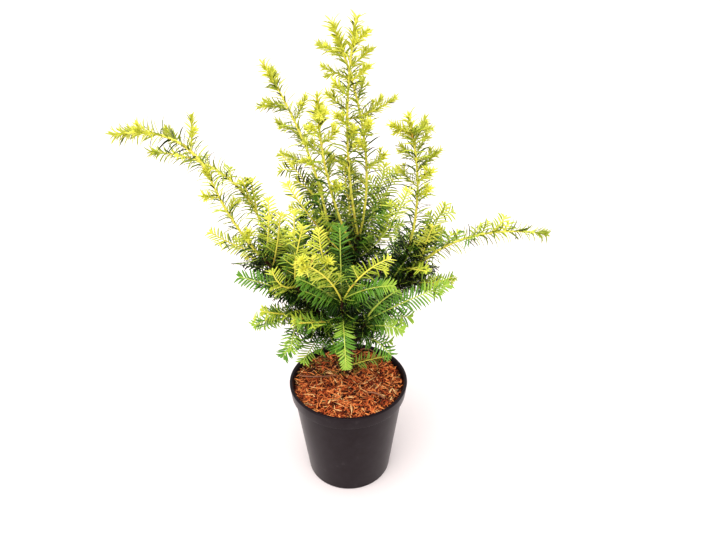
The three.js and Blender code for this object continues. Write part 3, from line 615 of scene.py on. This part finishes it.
def needleBlades(heap, bed):
    # spine = root + length (aim s + bend s²); its ring is right edge, ridge, left edge and keel, and the
    # last ring closes on the point; the two faces by the ridge are its upper side
    s = column(needleShape["stations"] + (1,))
    rootAim, rootBend = bed["aim"][:, None], bed["bend"][:, None]
    spine = bed["root"][:, None] + bed["length"][:, None, None] * (rootAim * s + rootBend * s ** 2)
    aim = unit(rootAim + 2 * rootBend * s)[:, :-1]
    face = squareTo(bed["face"][:, None], aim)
    side = np.cross(face, aim)
    half = bed["width"][:, None, None] / 2 * column(needleShape["widths"])
    rings = spine[:, :-1, None] + np.stack([
        half * side, needleShape["ridge"] * half * face, -half * side, -needleShape["keel"] * half * face], 2)
    count, stations = rings.shape[:2]
    points = np.concatenate([rings.reshape(count, -1, 3), spine[:, -1:]], 1)
    size = points.shape[1]
    quads = np.concatenate([gridQuads(stations, 4).reshape(-1, 4), [[3, 2, 1, 0]]])
    tris = fan(4 * (stations - 1), 4, size - 1, True)
    # the under faces take each tint's under colour, which is darkened as painted shade
    isUnder = np.array([0, 0, 1, 1])
    quadSlots = np.concatenate([np.tile(isUnder, stations - 1), [1]])
    firsts = np.arange(count)[:, None, None] * size
    addFaces(heap, points, firsts + quads, firsts + tris, np.tile(quadSlots, count), np.tile(isUnder, count))


def stemRings(curve, thick, thin, sides):
    # radius = taper (1 + knotSize sin(2 pi distance / knot)), a little thicker at each node
    length = lengthOf(curve)
    distance = np.linspace(0, length, max(4, int(length / (stems["step"] * mm))))
    share, _ = evenShares(curve, distance)
    knots = np.sin(distance / (stems["knot"] * mm) * 2 * pi)
    radius = mix(thick, thin, share) * mm * (1 + stems["knotSize"] * knots)
    return ringsAlong(pointAt(curve, share), column(radius), sides)


def growShoot(heap, slot, curve, faceUp, habit, seed, tone, stray=0.0):
    # a stem, in slot 0, or a twig, in slot 1, with its needles
    sides = stems["twigSides"] if slot else stems["sides"]
    addTube(heap, stemRings(curve, *habits[habit]["stem"], sides), slot)
    growNeedles(curve, faceUp, habit, seed, tone, stray)


def trimmed(curve, cut):
    # the same curve, ending this many millimetres short of its tip
    share, _ = evenShares(curve, lengthOf(curve) - cut * mm)
    return np.array([curve[0], mix(curve[0], curve[1], share), pointAt(curve, share)])


# the space that limbs and stems hold, as points with radii
holds = {"owner": [], "point": [], "radius": []}


def hold(owner, curve, thick, thin):
    # points along the curve, with its radius at each
    share = np.linspace(0, 1, 24)
    holds["owner"].append(np.full(len(share), owner))
    holds["point"].append(pointAt(curve, share))
    holds["radius"].append(mix(thick, thin, share) * mm)


def isFree(owner, curve, room):
    # whether the curve's outer part keeps this many millimetres from all that others hold
    owners, points, radii = (np.concatenate(holds[key]) for key in ("owner", "point", "radius"))
    path = pointAt(curve, np.linspace(0.35, 1, 8))
    gaps = np.linalg.norm(path[:, None] - points[None], axis=-1) - radii
    return np.all(gaps[:, owners != owner] > room * mm)


def sideTwigs(curve, faceUp, shape, seed, owner):
    # side twig k leaves at share mix(start, last, (k + 0.3 + 0.4 chance)/count), by turns to the right and
    # left of a flat spray, and on any side of a round stem
    grown = []
    count, reach = shape["twigs"]
    isRound, raised = shape["round"], shape["raised"]
    for k in range(count):
        share = mix(shape["start"], shape["last"], (k + 0.3 + 0.4 * chance(seed, k)) / count)
        along, up, right = frameAt(curve, share, faceUp)
        turn = (90 - raised if k % 2 else raised - 90) + shape["wander"] * (chance(seed, k + 40) - 0.5)
        turn = radians(360 * chance(seed, k + 40) if isRound else turn)
        out, aim = leaning((along, up, right), turn, radians(twigs["lean"]))
        wanted = reach * mix(1, twigs["shrink"], share) * mix(*twigs["spread"], chance(seed, k + 80))
        length = max(wanted, shape["shortest"]) * twigs["stemShare"][isRound] * mm
        foot = pointAt(curve, share)
        twig = bowed(foot, foot + aim * length, out * twigs["arch"] * length / 2 / mm)
        if isFree(owner, twig, twigs["clear"]):
            grown.append((twig, along if isRound else up, share))
    return grown


def growBuds(heap, twig, face, seed, value):
    # bud k stands at share mix(start, last, (k + chance)/count) of its twig, on any side
    for k in range(budTwigs["count"]):
        share = mix(budTwigs["start"], budTwigs["last"], (k + chance(seed, k)) / budTwigs["count"])
        stem = frameAt(twig, share, face)
        out, aim = leaning(stem, 2 * pi * chance(seed, k + 9), radians(budTwigs["lean"]))
        foot = pointAt(twig, share)
        tip = foot + aim * budTwigs["reach"] * mm * mix(*budTwigs["spread"], chance(seed, k + 19))
        tone = (value + budTwigs["brighter"], budTwigs["top"])
        budSeed = seed + budTwigs["seedStep"] * (k + 1)
        growShoot(heap, 1, bowed(foot, tip, (0, 0, 0)), stem[0], "bud", budSeed, tone)


def heapFor(tone):
    # the stems of golden shoots are young
    return youngStems if mix(*tone, stems["youngAt"]) > stems["youngFrom"] else oldStems


for name, row in limbs.items():
    hold(name, curves[name], row["thick"], row["thin"])
for name, shoot in shoots.items():
    curves[name] = curveOf(shoot)
    hold(name, curves[name], *stems["hold"])

youngStems, oldStems = newHeap(), newHeap()
plainTwigs = {key: twigs[key] for key in ("start", "last", "shortest", "wander")}
for place, (name, shoot) in enumerate(shoots.items()):
    whole = curves[name]
    shoot = {**plainTwigs, "twigs": (0, 0), "round": False, "raised": 0, "seed": place, **shoot}
    faceUp = faceOf(whole, shoot.get("across"))
    isRound, tone = shoot["round"], shoot["tone"]
    habit = shoot.get("habit", "round" if isRound else "flat")
    facing = np.array(shoot.get("facing", faceUp))
    heap = heapFor(tone)
    stray = stems["roundStray" if isRound else "stray"]
    growShoot(heap, 0, trimmed(whole, stems["tipTrim"]), facing, habit, place, tone, stray)
    count, reach = shoot["twigs"]
    if count == 0:
        continue
    grown = sideTwigs(whole, faceUp, shoot, shoot["seed"], name)
    if not isRound and habit not in ("broad", "comb"):
        fewer = (max(1, count - fineTwigs["fewer"]), reach * fineTwigs["reach"])
        fine = {**shoot, **{key: fineTwigs[key] for key in ("start", "last", "shortest")}, "twigs": fewer}
        grown += sideTwigs(whole, faceUp, fine, shoot["seed"] + fineTwigs["seed"], name)
    for k, (twig, twigFace, share) in enumerate(grown):
        value = mix(*tone, share)
        twigSeed = place + twigs["seedStep"] * (k + 1)
        if isRound:
            tuftTone = (max(value, twigs["tuftTones"][0]), twigs["tuftTones"][1])
            growShoot(heap, 1, twig, twigFace, "tufted", twigSeed, tuftTone)
            growBuds(heap, twig, twigFace, twigSeed, value)
        else:
            twigTone = (value - twigs["dimmer"], min(value + twigs["brighter"], twigs["top"]))
            growShoot(heap, 1, twig, facing, "feather", twigSeed, twigTone)

# lesser sprays between the shoots, on the limbs and on the shoots themselves
for place, spray in enumerate(sprays.values()):
    curve = curveOf(spray)
    facing = np.array(spray.get("facing", faceOf(curve, spray.get("across"))))
    habit, tone = spray.get("habit", "flat"), spray["tone"]
    growShoot(heapFor(tone), 0, curve, facing, habit, stems["spraySeed"] + place, tone, stems["stray"])

# short sprays that fill the inside of the crown, on the limbs themselves; their dark tones are painted shade
for seed, (name, row) in enumerate(limbs.items()):
    curve, inner = curves[name], innerSprays
    count = int(lengthOf(curve) * (inner["last"] - inner["start"]) / (inner["pitch"] * mm))
    for k in range(count):
        luck = [chance(inner["seed"] + seed, 10 * k + draw) for draw in range(4)]
        share = mix(inner["start"], inner["last"], (k + luck[0]) / count)
        turn = radians(goldenAngle * k + inner["turnVary"] * luck[1])
        lean = radians(inner["lean"] + inner["leanVary"] * (luck[2] - 0.5))
        _, aim = leaning(frameAt(curve, share, np.array(inner["stemFace"])), turn, lean)
        aim = unit(aim + np.array([0, 0, inner["lift"]]))
        foot = pointAt(curve, share)
        raised = np.clip((foot[2] / mm - inner["low"]) / (inner["high"] - inner["low"]), 0, 1)
        if chance(inner["seed"] + seed, 10 * k + 5) > mix(inner["lowNumber"], 1, raised):
            continue
        reach = inner["reach"] * mix(1, inner["shrink"], share) * mix(*inner["spread"], luck[3])
        reach *= mix(inner["lowReach"], 1, raised) * row.get("inner", 1)
        spray = bowed(foot, foot + aim * reach * mm, (0, 0, -inner["sag"] * reach))
        if isFree(name, spray, twigs["clear"]):
            outward = unit(foot * [1, 1, 0]) * inner["outward"] + np.array([0, 0, inner["upward"]])
            needleSeed = inner["needleSeed"] + seed + inner["seedStep"] * k
            growShoot(oldStems, 1, spray, outward, "feather", needleSeed, inner["tone"])

bed = {key: np.concatenate(value) for key, value in beds.items()}
print("needles:", len(bed["length"]))

# each tint's upper side, and its under side darkened as painted shade, as plain colours
tintColoursWithShadedUnder = {
    "dark": ((0.009, 0.02, 0.004), (0.006, 0.013, 0.003)),
    "deep": ((0.034, 0.088, 0.009), (0.016, 0.036, 0.006)),
    "green": ((0.11, 0.25, 0.02), (0.042, 0.09, 0.012)),
    "fresh": ((0.275, 0.42, 0.045), (0.1, 0.165, 0.022)),
    "lime": ((0.57, 0.635, 0.075), (0.32, 0.375, 0.045)),
    "gold": ((0.76, 0.76, 0.105), (0.53, 0.56, 0.07)),
    "olive": ((0.135, 0.2, 0.015), (0.07, 0.1, 0.01)),
    "moss": ((0.37, 0.45, 0.034), (0.18, 0.22, 0.022)),
}
foliage = dict(roughness=0.38, specular=0.4, deepSpecular=0.2)
for index, (tint, colours) in enumerate(tintColoursWithShadedUnder.items()):
    chosen = {key: value[bed["tint"] == index] for key, value in bed.items()}
    specular = foliage["specular" if index > 1 else "deepSpecular"]
    materials = [newMaterial(f"{tint} needle {side}", colour, foliage["roughness"], specular)
                 for side, colour in zip(("upper", "under"), colours)]
    heap = newHeap()
    needleBlades(heap, chosen)
    piece = buildPiece("needles_" + tint, heap, materials, smooth=False)
    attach(piece, "root")
    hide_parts(*shoots)

# the colours of stems and of twigs
stemFinish = {
    "young": ((0.78, 0.75, 0.12), (0.73, 0.75, 0.12)),
    "old": ((0.45, 0.56, 0.1), (0.37, 0.51, 0.08)),
}
for age, heap in [("young", youngStems), ("old", oldStems)]:
    materials = []
    for kind, colour in zip(("stem", "twig"), stemFinish[age]):
        material = newMaterial(f"{age} {kind}", colour, 0.45, 0.35)
        streaks = noiseOn(material, Scale=90.0, Detail=3.0)
        dull, bright = scaled(colour, (0.85, 0.55, 0.6)), scaled(colour, (1.12, 1.02, 1))
        paint(material, streaks, [(0.3, dull), (0.44, colour), (0.64, bright)])
        materials.append(material)
    piece = buildPiece(age + "_stems", heap, materials)
    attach(piece, "root")
    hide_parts(*shoots)


# pot

pot = dict(height=178, baseRadius=70, rimRadius=95, wallRadiusAtRim=91, bandDepth=22, bandTaper=2.4,
           bandStep=0.8, bandLedge=0.5, lipRound=1.5, lipWidth=0.8, mouthDepth=4, wall=1.8, floor=5,
           footHeight=3, footRound=1.2, footSlope=2, padRadius=24, padInset=6, grooveRadius=50, ringGap=2,
           drainHoles=6, drainRadius=4.5, turns=240, sideSteps=8, padSoft=0.7, shellSoft=0.9, weld=0.00002,
           sharpAngle=40)
ringInner = pot["padRadius"] + pot["footSlope"] + pot["ringGap"]
ringOuter = pot["grooveRadius"] - pot["footSlope"] - pot["ringGap"]


def outerWallAt(height):
    # the wall's radius grows evenly from the base to the rim
    return mix(pot["baseRadius"], pot["wallRadiusAtRim"], np.asarray(height) / pot["height"])


def softened(profile, size):
    # every corner of a (radius, height) profile becomes a short quadratic curve, which starts and ends
    # this many millimetres from the corner, or 0.4 of the way to the next one where that is nearer
    profile = np.array(profile, float)[:, None]
    corner = profile[1:-1]
    ends = []
    for other in (profile[:-2], profile[2:]):
        apart = np.maximum(np.linalg.norm(other - corner, axis=-1), 1e-9)
        ends.append(corner + (other - corner) * column(np.minimum(0.4, size / apart)))
    rounds = pointAt([ends[0], corner, ends[1]], np.linspace(0, 1, 5))
    return np.concatenate([profile[0], rounds.reshape(-1, 2), profile[-1]])


def circled(radius, height, angle):
    # (radius cos(angle), radius sin(angle), height)
    return np.stack([radius * np.cos(angle), radius * np.sin(angle), height + 0 * angle], -1)


def turned(heap, profile):
    # a skin of circles, one for every point of the profile
    rings = circled(profile[:, :1] * mm, profile[:, 1:] * mm, anglesRound(pot["turns"]))
    addFaces(heap, rings, gridQuads(len(profile), pot["turns"]), noTris, 0, 0)


def turnedCap(heap, radius, height, isUpper):
    # a disc as a fan from its middle
    ring = circled(radius, height, anglesRound(pot["turns"])) * mm
    points = np.concatenate([ring, [[0, 0, height * mm]]])
    addFaces(heap, points, noQuads, fan(0, pot["turns"], pot["turns"], isUpper), 0, 0)


def drainedRing(heap, inner, outer, height, isUpper):
    # the ring between two radii, sector by sector: each runs from its hole's circle out to the sector's edge
    perSector = pot["turns"] // pot["drainHoles"]
    middle = (pot["padRadius"] + pot["grooveRadius"]) / 2
    half = pi / pot["drainHoles"]
    corners = [(outer, -half), (outer, half), (inner, half), (inner, -half), (outer, -half)]
    edge = np.concatenate([
        np.linspace(start, end, steps, endpoint=False)
        for start, end, steps in zip(corners, corners[1:], (perSector, pot["sideSteps"]) * 2)])
    edge = edge[:, :1] * np.stack([np.cos(edge[:, 1]), np.sin(edge[:, 1])], -1)
    away = unit(edge - [middle, 0])
    rings = mix([middle, 0] + pot["drainRadius"] * away, edge, np.linspace(0, 1, 5)[:, None, None])
    quads = gridQuads(len(rings), len(edge))
    for sector in range(pot["drainHoles"]):
        turn = 2 * half * sector
        x = rings[..., 0] * np.cos(turn) - rings[..., 1] * np.sin(turn)
        y = rings[..., 0] * np.sin(turn) + rings[..., 1] * np.cos(turn)
        points = np.stack([x, y, 0 * x + height], -1) * mm
        addFaces(heap, points, quads[..., ::-1] if isUpper else quads, noTris, 0, 0)
        if isUpper:
            walls = np.stack([points[0], points[0] - [0, 0, (pot["floor"] - pot["footHeight"]) * mm]])
            addFaces(heap, walls, gridQuads(2, len(edge)), noTris, 0, 0)


def potProfiles():
    # (radius, height) of the pad's edge, and of the shell: out from the groove, up the wall and down inside
    rim, floor, foot = pot["height"], pot["floor"], pot["footHeight"]
    bandFoot = rim - pot["bandDepth"]
    stepFoot = bandFoot - pot["bandStep"]
    mouth = rim - pot["mouthDepth"]
    pad = [(pot["padRadius"] - pot["padInset"], 0), (pot["padRadius"], 0),
           (pot["padRadius"] + pot["footSlope"], foot), (ringInner, foot)]
    shell = [
        (ringOuter, foot), (pot["grooveRadius"] - pot["footSlope"], foot), (pot["grooveRadius"], 0),
        (pot["baseRadius"] - pot["footRound"], 0), (pot["baseRadius"], pot["footRound"]),
        (outerWallAt(stepFoot), stepFoot), (outerWallAt(bandFoot) + pot["bandLedge"], bandFoot),
        (pot["rimRadius"] - pot["bandTaper"], bandFoot), (pot["rimRadius"], rim - pot["lipRound"]),
        (pot["rimRadius"] - pot["lipWidth"], rim), (pot["wallRadiusAtRim"], rim),
        (outerWallAt(mouth) - pot["wall"], mouth), (outerWallAt(floor) - pot["wall"], floor),
        (ringOuter, floor)]
    return softened(pad, pot["padSoft"]), softened(shell, pot["shellSoft"])


heap = newHeap()
pad, shell = potProfiles()
turnedCap(heap, pot["padRadius"] - pot["padInset"], 0, False)
turned(heap, pad)
drainedRing(heap, ringInner, ringOuter, pot["footHeight"], False)
turned(heap, shell)
drainedRing(heap, ringInner, ringOuter, pot["floor"], True)
turnedCap(heap, ringInner, pot["floor"], True)

potMaterial = newMaterial("black moulded plastic", (0.005, 0.003, 0.005), 0.3, 0.16)
dust = noiseOn(potMaterial, Scale=55.0, Detail=8.0, Roughness=0.7)
paint(potMaterial, dust, [
    (0.35, (0.012, 0.006, 0.008)), (0.62, (0.017, 0.011, 0.014)), (0.76, (0.038, 0.03, 0.031))])
wipe = noiseOn(potMaterial, (1, 1, 0.25), Scale=24.0, Detail=4.0)
gloss = addNode(potMaterial, "ShaderNodeMapRange", To_Min=0.24, To_Max=0.36)
linkNodes(potMaterial, (wipe, gloss.inputs["Value"]),
          (gloss.outputs["Result"], socket(potMaterial, "Roughness")))
addBump(potMaterial, wipe, 0.12, 0.0006)

potPiece = buildPiece("pot_shell", heap, [potMaterial])
potMesh = bmesh.new()
potMesh.from_mesh(potPiece.data)
bmesh.ops.remove_doubles(potMesh, verts=potMesh.verts, dist=pot["weld"])
potMesh.to_mesh(potPiece.data)
potMesh.free()
potPiece.data.set_sharp_from_angle(angle=radians(pot["sharpAngle"]))
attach(potPiece, "root")
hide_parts("pot")


# growing medium: moist compost under shredded bark

mulch = dict(level=170, dip=1.6, gap=0.3, relief=2.2, fadeRadius=88, fadeDepth=20, fadeTo=0.2, edge=87.6,
             middle=0.5, rings=70, turns=150, wallTop=3, wallRings=8, chipReach=86.2, seed=11)


def surfaceAt(x, y):
    # height of the compost in millimetres: three crossing waves, fading towards the wall
    r = np.hypot(x, y)
    waves = np.sin(x / 13 + 1) * np.cos(y / 15) + 0.6 * np.sin((x - y) / 8)
    waves += 0.35 * np.sin(x / 4.1) * np.sin(y / 3.7 + 1)
    fade = np.clip((mulch["fadeRadius"] - r) / mulch["fadeDepth"], mulch["fadeTo"], 1)
    return mulch["level"] - mulch["dip"] + 0.5 * mulch["relief"] * waves * fade


heap = newHeap()
radius = np.linspace(mulch["edge"], mulch["middle"], mulch["rings"])
angle = anglesRound(mulch["turns"])
x, y = radius[:, None] * np.cos(angle), radius[:, None] * np.sin(angle)
grain = 0.7 * np.sin(x * 1.9 + 2 * np.sin(y)) * np.sin(y * 2.3 + 1.7 * np.sin(x * 0.8))
top = np.stack([x, y, surfaceAt(x, y) + grain], -1) * mm
wallHeights = np.linspace(pot["floor"] + mulch["gap"], mulch["level"] - mulch["wallTop"], mulch["wallRings"])
wallRadius = outerWallAt(wallHeights) - pot["wall"] - mulch["gap"]
wall = circled(wallRadius[:, None], wallHeights[:, None], angle) * mm
addTube(heap, np.concatenate([wall, top]))
compost = newMaterial("moist compost", (0.05, 0.022, 0.012), 0.95, 0.2)
crumbs = noiseOn(compost, Scale=260.0, Detail=8.0, Roughness=0.7)
paint(compost, crumbs, [
    (0.35, (0.014, 0.003, 0.002)), (0.52, (0.052, 0.014, 0.007)), (0.7, (0.14, 0.045, 0.02))])
addBump(compost, crumbs, 0.8, 0.001)
piece = buildPiece("compost", heap, [compost])
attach(piece, "root")
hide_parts("growing_medium")

# shredded bark: each chip is a bent, tapering splinter of four sides; its colour is dealt out chip by chip
# the dark colour serves mostly as painted shade in the gaps of the lowest layer
chipColours = {
    "rust": (0.56, 0.12, 0.03), "orange": (0.9, 0.29, 0.085), "brown": (0.24, 0.06, 0.017),
    "red": (0.2, 0.03, 0.01), "dark": (0.032, 0.006, 0.003), "tan": (0.9, 0.5, 0.22),
    "olive": (0.26, 0.17, 0.035), "stick": (0.34, 0.15, 0.085),
}
# three layers: their heights over the compost, middling length, widths, tilt and the share of each colour;
# the lowest layer's many dark chips are painted shade in the gaps between the chips above
chipLayers = [
    dict(count=4600, heights=(0.2, 2.2), length=6.5, width=(0.8, 2.0), tilt=18,
         shares=[0.2, 0.14, 0.17, 0.13, 0.26, 0.03, 0.07]),
    dict(count=1000, heights=(1.8, 3.6), length=10, width=(1.3, 3.2), tilt=14,
         shares=[0.32, 0.36, 0.08, 0.06, 0.02, 0.12, 0.04]),
    dict(count=70, heights=(3, 4.4), length=17, width=(1.1, 2.2), tilt=7,
         shares=[0.2, 0.45, 0, 0, 0, 0.35, 0]),
]
chipRule = dict(lengths=(2.5, 21), lengthVary=0.38, edgeLength=3, edgeSlope=2.2, edgeRadius=88.5,
                faceVary=0.4, thickness=(0.5, 1.2), bendVary=0.13, mossyShare=0.4, mossyFrom=15, mossyTo=30,
                redBefore=10)
splinterShape = dict(stations=(-0.5, -0.05, 0.5), girth=(0.45, 1.0, 0.3), skew=(0.4, 0.3))
# fallen twigs, each through three places at these heights over the compost
sticks = dict(rise=(3, 6, 3), thick=1.5, thin=0.9, sides=6, paths=[
    [(22, 83), (37, 80), (52, 64)], [(-80, 15), (-53, 9), (-19, 15)], [(30, -30), (44, -36), (56, -46)]])


def splinters(heap, middles, headings, faces, lengths, widths, thicknesses, bends, slots):
    # spine = middle + length (heading s + face bend (0.25 - s²)), s from -1/2 to 1/2, under a diamond ring
    s = column(splinterShape["stations"])
    curved = faces[:, None] * bends[:, None, None] * (0.25 - s ** 2)
    spine = middles[:, None] + lengths[:, None, None] * (headings[:, None] * s + curved)
    girth = column(splinterShape["girth"])
    half, rise = widths[:, None, None] / 2 * girth, thicknesses[:, None, None] / 2 * girth
    side, face = np.cross(faces, headings)[:, None], faces[:, None]
    above, below = splinterShape["skew"]
    rings = spine[:, :, None] + np.stack([
        half * side, rise * face + above * half * side, -half * side, -rise * face - below * half * side], 2)
    quads = np.concatenate([gridQuads(3, 4).reshape(-1, 4), [[3, 2, 1, 0], [8, 9, 10, 11]]])
    firsts = np.arange(len(rings))[:, None, None] * 12
    addFaces(heap, rings, firsts + quads, noTris, np.repeat(slots, len(quads)), 0)


dice = np.random.default_rng(mulch["seed"])
heap = newHeap()
colourOrder = list(chipColours)
red, dark, olive = (colourOrder.index(colour) for colour in ("red", "dark", "olive"))
for layer in chipLayers:
    count, shares = layer["count"], layer["shares"]
    radius = mulch["chipReach"] * np.sqrt(dice.random(count))
    angle = 2 * pi * dice.random(count)
    x, y = radius * np.cos(angle), radius * np.sin(angle)
    z = surfaceAt(x, y) + mix(*layer["heights"], dice.random(count))
    lengths = layer["length"] * np.exp(chipRule["lengthVary"] * dice.normal(0, 1, count))
    lengths = np.clip(lengths, *chipRule["lengths"])
    room = chipRule["edgeLength"] + chipRule["edgeSlope"] * (chipRule["edgeRadius"] - radius)
    lengths = np.minimum(lengths, room)
    yaw = 2 * pi * dice.random(count)
    pitch = np.radians(dice.normal(0, layer["tilt"], count))
    headings = np.stack([np.cos(yaw) * np.cos(pitch), np.sin(yaw) * np.cos(pitch), np.sin(pitch)], -1)
    faces = squareTo(dice.normal(0, chipRule["faceVary"], (count, 3)) + [0, 0, 1], headings)
    slots = dice.choice(len(shares), count, p=shares)
    # more of the chips are olive or dark at the back on the left, and none is olive in front
    isMossy = dice.random(count) < chipRule["mossyShare"]
    isMossy &= (y > chipRule["mossyFrom"]) & (x < chipRule["mossyTo"])
    slots = np.where(isMossy, np.where(dice.integers(0, 2, count), dark, olive), slots)
    slots = np.where((slots == olive) & (y < chipRule["redBefore"]), red, slots)
    splinters(heap, np.stack([x, y, z], -1) * mm, headings, faces, lengths * mm,
              mm * dice.uniform(*layer["width"], count), mm * dice.uniform(*chipRule["thickness"], count),
              dice.normal(0, chipRule["bendVary"], count), slots)
for path in sticks["paths"]:
    points = np.array([(x, y, surfaceAt(x, y) + rise) for (x, y), rise in zip(path, sticks["rise"])]) * mm
    curve = np.array([points[0], 2 * points[1] - (points[0] + points[2]) / 2, points[2]])
    rings = stemRings(curve, sticks["thick"], sticks["thin"], sticks["sides"])
    addTube(heap, rings, colourOrder.index("stick"))
materials = []
for name, colour in chipColours.items():
    material = newMaterial(name + " bark chip", colour, 0.75, 0.3)
    fibres = noiseOn(material, Scale=900.0, Detail=2.0)
    paint(material, fibres, [(0.3, scaled(colour, 0.55)), (0.5, colour), (0.72, scaled(colour, 1.35))])
    materials.append(material)
piece = buildPiece("bark_chips", heap, materials, smooth=False)
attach(piece, "root")
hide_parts("growing_medium")


# floor, light and camera

stage = dict(floorReach=60, floorColour=(0.78, 0.71, 0.7), sky=1.0)
keyLight = dict(strength=2.0, spread=60, azimuth=-115, height=62)
view = dict(place=(0, -0.69, 0.745), tilt=61.8, turn=-1.55, lens=27, sensor=36)
floor = newHeap()
corners = np.array([[-1, -1, 0], [1, -1, 0], [1, 1, 0], [-1, 1, 0]], float)
addFaces(floor, stage["floorReach"] * corners, np.array([[0, 1, 2, 3]]), noTris, 0, 0)
floorMaterial = newMaterial("pale floor", stage["floorColour"], 0.7, 0.2)
floorPiece = buildPiece("floor", floor, [floorMaterial], smooth=False)

world = bpy.data.worlds.new("studio")
world.use_nodes = True
sky = world.node_tree.nodes["Background"]
sky.inputs["Color"].default_value = (1, 1, 1, 1)
sky.inputs["Strength"].default_value = stage["sky"]
bpy.context.scene.world = world


def addSun(name, strength, spread, azimuth, height):
    # a wide soft light from a compass direction and a height in degrees
    lamp = bpy.data.lights.new(name, "SUN")
    lamp.energy = strength
    lamp.angle = radians(spread)
    newObject(name, lamp).rotation_euler = (radians(90 - height), 0, radians(azimuth + 90))


addSun("key light", **keyLight)
camera = bpy.data.cameras.new("camera")
camera.lens = view["lens"]
camera.sensor_width = view["sensor"]
holder = newObject("camera", camera)
holder.location = view["place"]
holder.rotation_euler = (radians(view["tilt"]), 0, radians(view["turn"]))
bpy.context.scene.camera = holder
bpy.context.scene.view_settings.view_transform = "Standard"
bpy.context.scene.view_settings.look = "Medium High Contrast"
